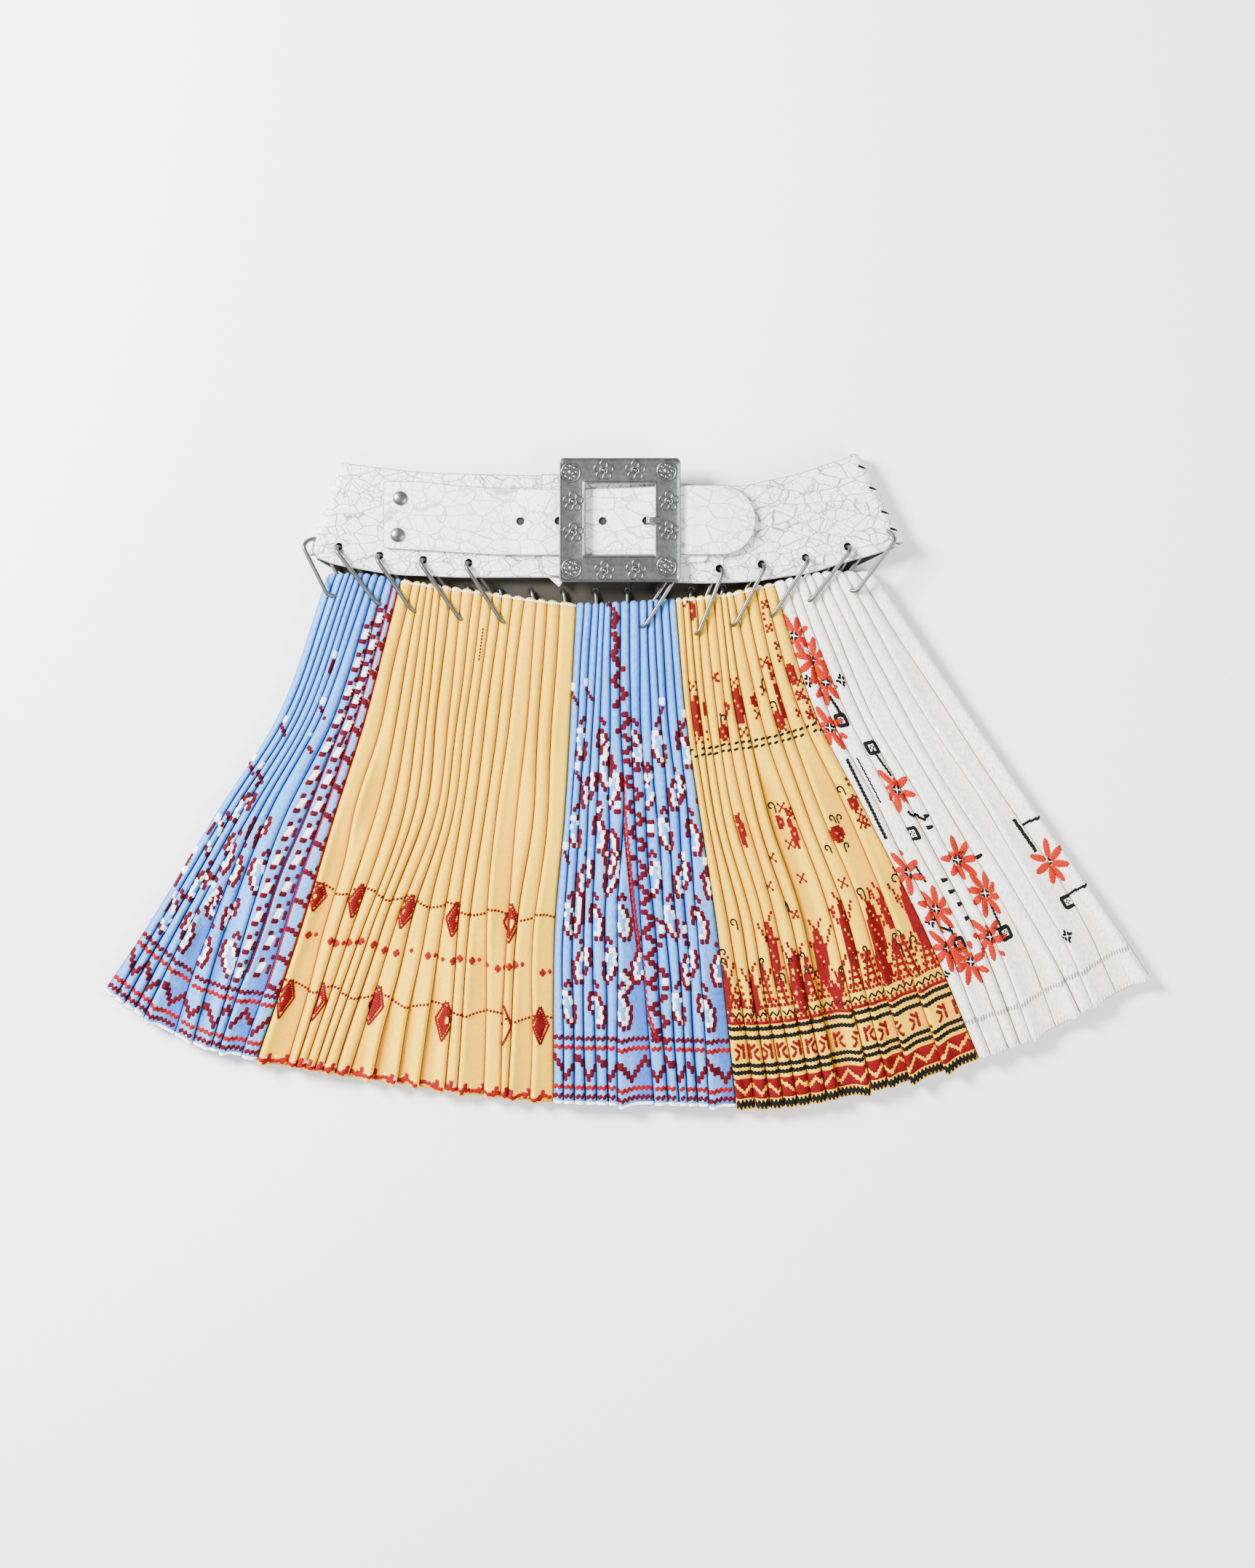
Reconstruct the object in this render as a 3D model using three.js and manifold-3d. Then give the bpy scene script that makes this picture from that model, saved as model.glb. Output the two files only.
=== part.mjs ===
// Mini skirt laid flat on its back. Pleated cloths of several colours hang by oblong steel rings from a wide
// leather belt, which a riveted strap and a square buckle fasten at the front.
// Millimetres. X runs to the right of the front, Y from the hem to the belt, Z up from the surface it lies on.
import * as THREE from "three";
import { mergeVertices } from "three/addons/utils/BufferGeometryUtils.js";
import Module from "manifold-3d";

const wasm = await Module();
wasm.setup();

// Driving dimensions
const CLOTH = 1.8; // wall of the cloth
const LEATHER = 2.5; // belt
const STRAP = 2.0; // strap and buckle tab
const WIRE = 2.6; // ring wire
const GAP = 0.3; // between pieces that touch
const CLEARANCE = 0.35; // round a wire where it goes through cloth or leather
const MIDDLE_OF_FOOTPRINT = { x: -2.5, y: 0.8 }; // the origin, seen from the middle of the waist

// The stack of layers over the waist, from the surface up
const BACK_BELT_Z = WIRE + 0.4;
const BACK_LEG_Z = 7.1; // underside of the back rings' inner legs
const FRONT_LEG_Z = BACK_LEG_Z + WIRE + GAP;
const FRONT_Z = FRONT_LEG_Z + WIRE + GAP; // underside of the front cloth and belt at the rings
const FRONT_RIDGE = 4.4; // height of a front pleat at the waist
const FRONT_RIDGE_HEM = 6.8;
const BACK_RIDGE = 2.0;
const OUTER_LEG_Z = FRONT_Z + CLOTH + FRONT_RIDGE + GAP; // underside of the front rings' outer legs
const FRONT_REST_Z = CLOTH + 2.5 + 0.7; // underside of the front cloth where it lies on the back cloth
const OVERLAP_LIFT = LEATHER + GAP; // belt end that lies on the other belt end

const rows = (names, lines) =>
  lines.map((line) => Object.fromEntries(names.map((name, i) => [name, line[i]])));
const mix = (a, b, t) => a + (b - a) * t;
const clamp = (value) => Math.min(1, Math.max(0, value));

// A smooth line through points: cubic pieces whose slopes at the points are those of their neighbours.
function smoothLine(points) {
  const slopes = points.map((point, i) => {
    const before = points[Math.max(0, i - 1)];
    const after = points[Math.min(points.length - 1, i + 1)];
    return (after[1] - before[1]) / (after[0] - before[0]);
  });
  return (at) => {
    let i = 0;
    while (i < points.length - 2 && at > points[i + 1][0]) i += 1;
    const [[x0, y0], [x1, y1]] = [points[i], points[i + 1]];
    const width = x1 - x0;
    const t = (at - x0) / width;
    if (t < 0) return y0 + slopes[i] * (at - x0);
    if (t > 1) return y1 + slopes[i + 1] * (at - x1);
    const rise = y1 - y0;
    const a = slopes[i] * width - rise;
    const b = rise - slopes[i + 1] * width;
    return mix(y0, y1, t) + t * (1 - t) * (a * (1 - t) + b * t);
  };
}

// A straight-sided line through points, level past both ends.
function brokenLine(points) {
  return (at) => {
    if (at <= points[0][0]) return points[0][1];
    for (let i = 1; i < points.length; i += 1) {
      const [[x0, y0], [x1, y1]] = [points[i - 1], points[i]];
      if (at <= x1) return mix(y0, y1, (at - x0) / (x1 - x0));
    }
    return points[points.length - 1][1];
  };
}

// Edges of the cloth, as Y over X
const frontWaist = smoothLine([
  [-208, 144], [-183, 144], [-157, 140], [-101, 132], [-37, 124], [0, 125], [31, 127], [67, 131], [98, 138],
  [131, 145], [166, 146],
]);
const backWaist = smoothLine([
  [-208, 144], [-157, 126], [-100, 108], [-20, 102], [60, 106], [110, 122], [166, 146],
]);
const hem = smoothLine([
  [-362, -142], [-334, -161], [-301, -179], [-257, -190], [-161, -206], [-53, -219], [34, -221], [106, -222],
  [193, -204], [240, -189], [276, -176], [318, -153], [357, -132],
]);

// Where the seams of the front cross five cuts: the waist edge, three heights and the hem
const CUT_HEIGHTS = [48, -22, -102];
const FRONT_SEAMS = rows(["waist", "upper", "middle", "lower", "hem"], [
  [-208, -242, -286, -335, -362], // left fold
  [-157, -181, -203, -227, -257],
  [-37, -41, -45, -52, -53],
  [31, 38, 48, 60, 73],
  [98, 127, 163, 203, 240],
  [166, 233, 281, 337, 357], // right fold
]);
const CUTS = ["waist", "upper", "middle", "lower", "hem"];

// Widths of the front pleats from left to right, across the waist edge, the middle and the hem
const pleats = (lines) => rows(["waist", "middle", "hem"], lines);
const FRONT_CLOTHS = [
  {
    name: "front_blue_left",
    colour: "blue",
    pleats: pleats([
      [6.5, 6.5, 7.5], [5.5, 5.5, 6], [4, 6, 6.5], [4.5, 6.5, 6.5], [4.5, 6, 21], [5.5, 6.5, 12.5],
      [5, 13, 12], [5.5, 12.5, 5.5], [5.5, 12, 16], [4.5, 9.5, 10.5],
    ]),
  },
  {
    name: "front_yellow_left",
    colour: "yellow",
    pleats: pleats([
      [8, 13.5, 21], [5.5, 14, 5.5], [4.5, 11, 6.5], [4.5, 9, 6.5], [5, 7, 5.5], [7, 6.5, 8.5],
      [7.5, 9, 9.5], [8, 5, 16], [6, 6, 17], [7, 6.5, 15.5], [6.5, 7.5, 18], [7.5, 8, 8],
      [8, 8, 18.5], [8.5, 15, 12], [7, 10, 4.5], [8.5, 10, 15.5], [11.5, 12.5, 16],
    ]),
  },
  {
    name: "front_blue_centre",
    colour: "blue",
    pleats: pleats([
      [5.5, 4.5, 7], [5.5, 5.5, 7.5], [4.5, 6, 7.5], [4, 5.5, 8], [4.5, 9, 8], [6, 9.5, 6.5],
      [6.5, 7.5, 25.5], [6.5, 8, 9.5], [5.5, 7.5, 7.5], [4.5, 8.5, 6], [4.5, 6.5, 6.5], [5.5, 7, 8],
      [5, 8, 19],
    ]),
  },
  {
    name: "front_yellow_right",
    colour: "yellow",
    pleats: pleats([
      [4.5, 4.5, 13], [4.5, 5.5, 10], [4.5, 6, 9.5], [6, 7, 9.5], [6, 8, 10], [4.5, 8, 10],
      [4, 8.5, 8.5], [4.5, 17, 22.5], [7.5, 10, 11.5], [7.5, 10, 14.5], [5.5, 16.5, 24], [7, 13.5, 23.5],
    ]),
  },
  {
    name: "front_white_right",
    colour: "white",
    pleats: pleats([
      [8, 10, 8], [6, 13, 12.5], [6.5, 10, 7.5], [5.5, 9, 8.5], [7, 16, 16.5], [7.5, 10, 17],
      [7.5, 16, 8.5], [9, 19, 16.5], [11, 15, 22.5],
    ]),
  },
];

// The back, all of it hidden: three cloths of even pleats, from the left fold to the right one
const BACK_CLOTHS = rows(["name", "colour", "from", "to", "count"], [
  ["back_blue", "blue", 0, 0.33, 14],
  ["back_yellow", "yellow", 0.33, 0.67, 14],
  ["back_white", "white", 0.67, 1, 14],
]);

// Edges of the belt, as Y over X
const leftBeltTop = smoothLine([[-199, 220], [-176, 217], [-138, 213], [-99, 212], [-61, 211], [0, 210]]);
const leftBeltBottom = smoothLine([
  [-222, 157], [-203, 150], [-182, 146], [-162, 143], [-141, 142], [-116, 141], [-61, 141], [0, 140],
]);
const rightBeltTop = smoothLine([[-61, 212], [37, 205], [75, 204], [91, 207], [117, 213], [135, 219], [157, 226]]);
const rightBeltBottom = smoothLine([
  [-61, 142], [35, 137], [79, 138], [108, 142], [122, 144], [142, 150], [171, 158], [188, 165],
]);
const backBeltTop = smoothLine([
  [-199, 220], [-170, 209], [-120, 197], [-60, 192], [0, 191], [60, 194], [110, 205], [157, 226],
]);
const backBeltBottom = smoothLine([
  [-222, 157], [-190, 141], [-140, 128], [-80, 122], [0, 121], [60, 123], [110, 132], [150, 147], [188, 165],
]);
const LEFT_FOLD = { top: [-199, 220], bottom: [-222, 157] };
const RIGHT_FOLD = { top: [157, 226], bottom: [188, 165] };
const BELT_FOLD_RADIUS = (FRONT_Z + LEATHER - BACK_BELT_Z) / 2; // to the outside of the leather
const BELT_FOLD_Z = BACK_BELT_Z + BELT_FOLD_RADIUS;
const BELT_LEFT_END = 0;
const BELT_RIGHT_END = -61;
const BELT_HOLE = 6.4;
const BELT_HOLE_RISE = 11; // of a ring's hole over the belt's lower edge

// Front rings: the belt hole, and the far end where the wire goes through the cloth
const FRONT_RINGS = rows(["holeX", "holeY", "endX", "endY"], [
  [-220, 167, -201, 129],
  [-201, 162, -171, 123],
  [-173, 156, -147, 118],
  [-143, 153, -114, 112],
  [-112, 151, -85, 110],
  [32, 146, 7, 107],
  [62, 147, 44, 102],
  [91, 150, 69, 108],
  [121, 154.5, 95, 115],
  [150, 162, 121, 125],
  [178, 172, 149, 133],
]);
const RING_LEAN = 2.2; // sideways, of each leg from the ring's middle
const FOLD_RING_LEAN = 6; // the two rings that go through the belt's folds
const BACK_RINGS = { count: 16, firstX: -178, pitch: 22, length: 49, degreesPerMm: 0.2 };

// Strap, tab and buckle
const STRAP_X = [-169.5, 62.75];
const STRAP_TIP = 22.5;
const strapTop = smoothLine([[-170, 207], [-141, 206.5], [-116, 203.7], [-49, 201.3], [35, 203.7], [86, 204]]);
const strapBottom = smoothLine([[-170, 161], [-141, 159.3], [-84, 156.3], [35, 156.3], [86, 156.3]]);
const STRAP_HOLE = 5.7;
const STRAP_HOLES = { xs: [-75.4, -49, -19, 10.8], y: 179.5 };
const TAB = { left: 24, right: 53, bottom: 151.3, top: 200, corner: 4 };
const BUCKLE = { left: -48.75, right: 34.25, bottom: 137.3, top: 222.3, corner: 2.5, thickness: 4 };
const OPENING = { left: -30.75, right: 16.75, bottom: 155.7, top: 204.7, corner: 1.5 };
const FLOWERS = rows(["x", "y"], [
  [-18.3, 213.7], [3.3, 213.7], [-39.3, 192.3], [-39.3, 171.3], [26.3, 192.7], [26.3, 172.2], [-17.8, 145.2],
  [3.8, 145.7],
]);
const FLOWER_RADIUS = 7;
const CORNER_MARKS = rows(["x", "y"], [[-40.8, 212.3], [24.8, 213.2], [-40.3, 146.7], [24.8, 148.2]]);
const CORNER_MARK_RADIUS = 7.5;
const RELIEF = 1.1;
const RIVETS = rows(["name", "x", "y"], [["rivet_upper", -157.8, 195.2], ["rivet_lower", -159.5, 170]]);
const RIVET = { cap: 10, stem: 3, dome: 2.2, rim: 0.7, sides: 10 };

// Finishes
const finish = (color, roughness, metalness = 0) => new THREE.MeshStandardMaterial({ color, roughness, metalness });
const FINISHES = {
  blue: finish(0xa8c2e4, 0.9),
  yellow: finish(0xfadea5, 0.9),
  white: finish(0xefeeec, 0.9),
  leather: finish(0xf5f5f6, 0.55),
  steel: finish(0xb9bbbd, 0.25, 1),
};

// Solids: a geometry's position alone, its shared corners merged, as manifold-3d takes it
function solidOf(geometry) {
  const bare = new THREE.BufferGeometry();
  bare.setAttribute("position", geometry.getAttribute("position"));
  if (geometry.index) bare.setIndex(geometry.index);
  const merged = mergeVertices(bare, 1e-4);
  return new wasm.Manifold(
    new wasm.Mesh({
      numProp: 3,
      vertProperties: new Float32Array(merged.getAttribute("position").array),
      triVerts: new Uint32Array(merged.index.array),
    }),
  );
}

function geometryOf(solid) {
  const mesh = solid.getMesh();
  const geometry = new THREE.BufferGeometry();
  geometry.setAttribute("position", new THREE.BufferAttribute(mesh.vertProperties, 3));
  geometry.setIndex(new THREE.BufferAttribute(mesh.triVerts, 1));
  return geometry;
}

const cut = (geometry, tools) =>
  geometryOf(tools.reduce((solid, tool) => solid.subtract(solidOf(tool)), solidOf(geometry)));

// A closed sheet between an upper and a lower surface, each a grid of columns (X) by rows (Y)
function sheet(columns, lines, upper, lower) {
  const positions = [];
  const triangles = [];
  for (const surface of [upper, lower])
    for (let j = 0; j < lines; j += 1)
      for (let i = 0; i < columns; i += 1) positions.push(...surface(i, j));
  const at = (side, i, j) => (side * lines + j) * columns + i;
  const quad = (a, b, c, d) => triangles.push(a, b, c, a, c, d);
  for (let j = 0; j < lines - 1; j += 1)
    for (let i = 0; i < columns - 1; i += 1) {
      quad(at(0, i, j), at(0, i + 1, j), at(0, i + 1, j + 1), at(0, i, j + 1));
      quad(at(1, i, j), at(1, i, j + 1), at(1, i + 1, j + 1), at(1, i + 1, j));
    }
  for (let i = 0; i < columns - 1; i += 1) {
    quad(at(1, i, 0), at(1, i + 1, 0), at(0, i + 1, 0), at(0, i, 0));
    quad(at(0, i, lines - 1), at(0, i + 1, lines - 1), at(1, i + 1, lines - 1), at(1, i, lines - 1));
  }
  for (let j = 0; j < lines - 1; j += 1) {
    quad(at(0, 0, j), at(0, 0, j + 1), at(1, 0, j + 1), at(1, 0, j));
    quad(at(1, columns - 1, j), at(1, columns - 1, j + 1), at(0, columns - 1, j + 1), at(0, columns - 1, j));
  }
  const geometry = new THREE.BufferGeometry();
  geometry.setAttribute("position", new THREE.Float32BufferAttribute(positions, 3));
  geometry.setIndex(triangles);
  return geometry;
}

// A line down the cloth: where it crosses the five cuts gives its X and Y from the waist (0) to the hem (1)
function fallLine(crossings, waist) {
  const topY = waist(crossings[0]);
  const hemY = hem(crossings[4]);
  const heights = [topY, ...CUT_HEIGHTS, hemY];
  const across = smoothLine(heights.map((y, k) => [-y, crossings[k]]));
  return (v) => {
    const y = mix(topY, hemY, v);
    return [across(-y), y];
  };
}

// The fall lines between the pleats of a cloth, one more than it has pleats
function pleatLines(cloth, leftSeam, rightSeam, waist) {
  const widths = (pleat) => {
    const { waist: top, middle, hem: bottom } = pleat;
    return [top, (top + middle) / 2, middle, (middle + bottom) / 2, bottom];
  };
  const totals = CUTS.map((_, k) => cloth.reduce((sum, pleat) => sum + widths(pleat)[k], 0));
  const reached = CUTS.map(() => 0);
  const line = () => fallLine(
    CUTS.map((name, k) => mix(leftSeam[name], rightSeam[name], reached[k] / totals[k])),
    waist,
  );
  const lines = [line()];
  for (const pleat of cloth) {
    widths(pleat).forEach((width, k) => {
      reached[k] += width;
    });
    lines.push(line());
  }
  return lines;
}

// Places along a cloth: which pleat, how far across it and, from both, the point down the fall at v
function stations(pleatCount, steps) {
  const list = [];
  for (let pleat = 0; pleat < pleatCount; pleat += 1)
    for (const across of steps) list.push({ pleat, across });
  list.push({ pleat: pleatCount - 1, across: 1 });
  return list;
}

function placeOn(lines, { pleat, across }, v) {
  const [x0, y0] = lines[pleat](v);
  const [x1, y1] = lines[pleat + 1](v);
  return [mix(x0, x1, across), mix(y0, y1, across)];
}

// Half the seam gap is left out at each end of a cloth that has a neighbour there
function seamShift(index, count, leftOpen, rightOpen) {
  if (index === 0 && !leftOpen) return GAP / 2;
  if (index === count - 1 && !rightOpen) return -GAP / 2;
  return 0;
}

// Front cloth: rounded ridges side by side. Round the rings it lies on the inner legs, and below them it
// sinks on to the back cloth. Its outer two pleats at a side fold bend down to the back cloth.
const FRONT_ROWS = [0, 0.13, 0.3, 0.64, 1];
const frontUnderside = brokenLine([[0, FRONT_Z], [0.13, FRONT_Z], [0.3, FRONT_REST_Z]]);
const frontSideUnderside = brokenLine([[0, BACK_LEG_Z], [0.13, BACK_LEG_Z], [0.3, FRONT_REST_Z - 0.4]]);
const FOLD_PLEATS = 2;
const RIDGE_STEPS = [0, 0.2, 0.5, 0.8];
const RIDGE_SHAPE = { 0: 0, 0.2: 0.78, 0.5: 1, 0.8: 0.78, 1: 0 };
const RIDGE_DIP = 1.5; // a ridge reaches this much lower than its valleys at the hem

function frontCloth(cloth, index) {
  const isFirst = index === 0;
  const isLast = index === FRONT_CLOTHS.length - 1;
  const count = cloth.pleats.length;
  const lines = pleatLines(cloth.pleats, FRONT_SEAMS[index], FRONT_SEAMS[index + 1], frontWaist);
  const places = stations(count, RIDGE_STEPS);
  const foldLift = ({ pleat, across }) => {
    const fromLeft = isFirst ? (pleat + across) / FOLD_PLEATS : 1;
    const fromRight = isLast ? (count - pleat - across) / FOLD_PLEATS : 1;
    return clamp(Math.min(fromLeft, fromRight));
  };
  const surface = (isUpper) => (i, j) => {
    const v = FRONT_ROWS[FRONT_ROWS.length - 1 - j];
    const [x, y] = placeOn(lines, places[i], v);
    const ridge = RIDGE_SHAPE[places[i].across];
    const under = mix(frontSideUnderside(v), frontUnderside(v), foldLift(places[i]));
    const z = under + ridge * mix(FRONT_RIDGE, FRONT_RIDGE_HEM, v) + (isUpper ? CLOTH : 0);
    return [x + seamShift(i, places.length, isFirst, isLast), y - ridge * RIDGE_DIP * v, z];
  };
  return sheet(places.length, FRONT_ROWS.length, surface(true), surface(false));
}

// Back cloth: pleats pressed flat where they lie on the surface, raised round the rings' outer legs
const BACK_ROWS = [0, 0.14, 0.24, 0.62, 1];
const backUnderside = brokenLine([[0, BACK_BELT_Z], [0.14, BACK_BELT_Z], [0.24, 0]]);
const BACK_STEPS = [0, 0.15, 0.85];

function backCloth(cloth, index) {
  const isFirst = index === 0;
  const isLast = index === BACK_CLOTHS.length - 1;
  const left = FRONT_SEAMS[0];
  const right = FRONT_SEAMS[FRONT_SEAMS.length - 1];
  const seam = (share) => Object.fromEntries(CUTS.map((name) => [name, mix(left[name], right[name], share)]));
  const even = Array.from({ length: cloth.count }, () => ({ waist: 1, middle: 1, hem: 1 }));
  const lines = pleatLines(even, seam(cloth.from), seam(cloth.to), backWaist);
  const places = stations(cloth.count, BACK_STEPS);
  const surface = (isUpper) => (i, j) => {
    const v = BACK_ROWS[BACK_ROWS.length - 1 - j];
    const [x, y] = placeOn(lines, places[i], v);
    const isFlat = places[i].across > 0 && places[i].across < 1;
    const z = backUnderside(v) + (isFlat ? 0 : BACK_RIDGE) + (isUpper ? CLOTH : 0);
    return [x + seamShift(i, places.length, isFirst, isLast), y, z];
  };
  return sheet(places.length, BACK_ROWS.length, surface(true), surface(false));
}

// Ring: an oblong loop of wire. Its far ends are at the hole and in the cloth, and the legs run over and
// under both. radius is the wire's, or the clearance's where the loop is used to cut its own way through.
const RING_ARC = 4; // steps in each end
const WIRE_SIDES = 5;
const WAY_SIDES = 4;

function ringLoop({ hole, end, middleZ, halfDepth, lean }, radius, sides) {
  const along = new THREE.Vector3(end[0] - hole[0], end[1] - hole[1], 0);
  const reach = along.length();
  along.normalize();
  const sideways = new THREE.Vector3(-along.y, along.x, 0);
  const depth = new THREE.Vector3(0, 0, halfDepth).addScaledVector(sideways, lean);
  const normal = new THREE.Vector3().crossVectors(along, depth).normalize();
  const route = [];
  for (const isFar of [true, false])
    for (let k = 0; k <= RING_ARC; k += 1) {
      const turn = Math.PI * (k / RING_ARC) + (isFar ? 0 : Math.PI);
      const centre = isFar ? reach - halfDepth : halfDepth;
      const point = new THREE.Vector3(hole[0], hole[1], middleZ);
      point.addScaledVector(along, centre + halfDepth * Math.sin(turn));
      route.push(point.addScaledVector(depth, Math.cos(turn)));
    }
  const positions = [];
  route.forEach((point, k) => {
    const next = route[(k + 1) % route.length];
    const before = route[(k + route.length - 1) % route.length];
    const tangent = next.clone().sub(point).normalize().add(point.clone().sub(before).normalize()).normalize();
    const outwards = new THREE.Vector3().crossVectors(tangent, normal).normalize();
    for (let s = 0; s < sides; s += 1) {
      const turn = (2 * Math.PI * s) / sides;
      const rim = point.clone().addScaledVector(outwards, radius * Math.cos(turn));
      rim.addScaledVector(normal, radius * Math.sin(turn));
      positions.push(rim.x, rim.y, rim.z);
    }
  });
  const triangles = [];
  route.forEach((_, k) => {
    const next = (k + 1) % route.length;
    for (let s = 0; s < sides; s += 1) {
      const [a, b] = [k * sides + s, k * sides + ((s + 1) % sides)];
      const [c, d] = [next * sides + ((s + 1) % sides), next * sides + s];
      triangles.push(a, b, c, a, c, d);
    }
  });
  const geometry = new THREE.BufferGeometry();
  geometry.setAttribute("position", new THREE.Float32BufferAttribute(positions, 3));
  geometry.setIndex(triangles);
  if (solidOf(geometry).volume() < 0) geometry.setIndex(triangles.reverse());
  return geometry;
}

function frontRing(row, index) {
  const isAtFold = index === 0 || index === FRONT_RINGS.length - 1;
  const towardsMiddle = row.holeX < 0 ? -1 : 1;
  const top = OUTER_LEG_Z + WIRE / 2;
  const bottom = FRONT_LEG_Z + WIRE / 2;
  return {
    name: `ring_front_${String(index + 1).padStart(2, "0")}`,
    isAtFold,
    hole: [row.holeX, row.holeY],
    end: [row.endX, row.endY],
    middleZ: (top + bottom) / 2,
    halfDepth: (top - bottom) / 2,
    lean: towardsMiddle * (isAtFold ? FOLD_RING_LEAN : RING_LEAN),
  };
}

function backRing(_, index) {
  const x = BACK_RINGS.firstX + index * BACK_RINGS.pitch;
  const y = backBeltBottom(x) + BELT_HOLE_RISE;
  const turn = THREE.MathUtils.degToRad(-x * BACK_RINGS.degreesPerMm);
  const top = BACK_LEG_Z + WIRE / 2;
  const bottom = WIRE / 2 + 0.05;
  return {
    name: `ring_back_${String(index + 1).padStart(2, "0")}`,
    isAtFold: false,
    hole: [x, y],
    end: [x + BACK_RINGS.length * Math.sin(turn), y - BACK_RINGS.length * Math.cos(turn)],
    middleZ: (top + bottom) / 2,
    halfDepth: (top - bottom) / 2,
    lean: 0,
  };
}

const frontRings = FRONT_RINGS.map(frontRing);
const backRings = Array.from({ length: BACK_RINGS.count }, backRing);
const CLEAR_RADIUS = (WIRE / 2 + CLEARANCE) / Math.cos(Math.PI / WAY_SIDES);
const ways = (rings) => rings.map((ring) => ringLoop(ring, CLEAR_RADIUS, WAY_SIDES));

// A round punch through whatever lies at x, y
const PUNCH_SIDES = 8;

function punch(x, y, diameter) {
  const radius = diameter / 2 / Math.cos(Math.PI / PUNCH_SIDES);
  const tool = new THREE.CylinderGeometry(radius, radius, 60, PUNCH_SIDES);
  return tool.rotateX(Math.PI / 2).translate(x, y, 0);
}

// Where a ring's wire goes through leather whose middle is at z
function crossing({ hole, end, middleZ, halfDepth, lean }, z) {
  const rise = (z - middleZ) / halfDepth;
  const along = new THREE.Vector2(end[0] - hole[0], end[1] - hole[1]).normalize();
  const inset = halfDepth * (1 - Math.sqrt(1 - rise * rise));
  return [hole[0] + along.x * inset - along.y * lean * rise, hole[1] + along.y * inset + along.x * lean * rise];
}

// Belt half: a band between its two edges, with the side fold as the last part of an arc.
const BELT_RUN = 11; // places from the free end to the fold's arc
const FOLD_ARC = 4;
const BELT_LINES = 3;

function beltBand({ endX, fold, topEdge, bottomEdge, isBack, lift, foldShare }) {
  const sign = fold.bottom[0] < 0 ? -1 : 1;
  const columns = BELT_RUN + FOLD_ARC;
  const surface = (isOuter) => (column, j) => {
    const across = j / (BELT_LINES - 1);
    const [foldX, foldY] = [0, 1].map((k) => mix(fold.bottom[k], fold.top[k], across));
    const radius = BELT_FOLD_RADIUS - (isOuter ? 0 : LEATHER);
    const level = isBack ? -1 : 1;
    const centreX = foldX - sign * BELT_FOLD_RADIUS;
    if (column < BELT_RUN) {
      const share = column / (BELT_RUN - 1);
      const bottomX = mix(endX, fold.bottom[0] - sign * BELT_FOLD_RADIUS, share);
      const topX = mix(endX, fold.top[0] - sign * BELT_FOLD_RADIUS, share);
      const x = mix(bottomX, topX, across);
      const y = mix(bottomEdge(bottomX), topEdge(topX), across);
      return [x, y, BELT_FOLD_Z + level * radius + lift(x)];
    }
    const turn = (Math.PI / 2) * foldShare * ((column - BELT_RUN + 1) / FOLD_ARC);
    return [
      centreX + sign * radius * Math.sin(turn),
      foldY,
      BELT_FOLD_Z + level * radius * Math.cos(turn),
    ];
  };
  const order = (surfaceAt) => (i, j) => surfaceAt(sign < 0 ? columns - 1 - i : i, j);
  const [upper, lower] = isBack ? [surface(false), surface(true)] : [surface(true), surface(false)];
  return sheet(columns, BELT_LINES, order(upper), order(lower));
}

const isNear = (ring, fromX, toX) => ring.hole[0] > fromX && ring.hole[0] < toX;
const flat = () => 0;
const rightLift = brokenLine([[50, OVERLAP_LIFT], [105, 0]]);
const FOLD_SHARE = 0.97; // how far round the fold each half goes before the seam

function beltHalf(shape, rings) {
  const punched = rings.filter((ring) => !ring.isAtFold);
  const level = (x) => (shape.isBack ? BACK_BELT_Z : FRONT_Z + shape.lift(x)) + LEATHER / 2;
  const punches = punched.map((ring) => punch(...crossing(ring, level(ring.hole[0])), BELT_HOLE));
  return cut(beltBand(shape), [...punches, ...ways(rings.filter((ring) => ring.isAtFold))]);
}

// Rivet: a domed cap on a stem that goes through the strap and the belt
function rivet({ x, y }) {
  const capZ = FRONT_Z + LEATHER + STRAP + 2 * GAP;
  const profile = [
    [0, FRONT_Z + 0.2], [RIVET.stem / 2, FRONT_Z + 0.2], [RIVET.stem / 2, capZ], [RIVET.cap / 2, capZ],
    [RIVET.cap / 2, capZ + RIVET.rim], [RIVET.cap * 0.32, capZ + RIVET.dome * 0.8], [0, capZ + RIVET.dome],
  ].map(([r, z]) => new THREE.Vector2(r, z));
  return new THREE.LatheGeometry(profile, RIVET.sides).rotateX(Math.PI / 2).translate(x, y, 0);
}

// Strap: lies on the left belt end, climbs on to the right one and over the buckle's tab
const strapUnderside = brokenLine([
  [-170, FRONT_Z + LEATHER + GAP],
  [-80, FRONT_Z + LEATHER + GAP],
  [-62, FRONT_Z + 2 * LEATHER + 2 * GAP + 0.2],
  [-10, FRONT_Z + 2 * LEATHER + 2 * GAP + 0.2],
  [5, FRONT_Z + 2 * LEATHER + 2 * GAP + 0.4],
  [21, FRONT_Z + 2 * LEATHER + STRAP + 3 * GAP + 0.2],
  [56, FRONT_Z + 2 * LEATHER + STRAP + 3 * GAP + 0.1],
  [86, FRONT_Z + 2 * LEATHER + 2 * GAP],
]);
const STRAP_XS = [-169.5, -168, -141, -116, -80, -70, -62, -35, -10, 5, 13, 21, 45, 56, 62.75];
const STRAP_TIP_TURNS = [25, 50, 70, 85];
const STRAP_LINES = 3;

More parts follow.
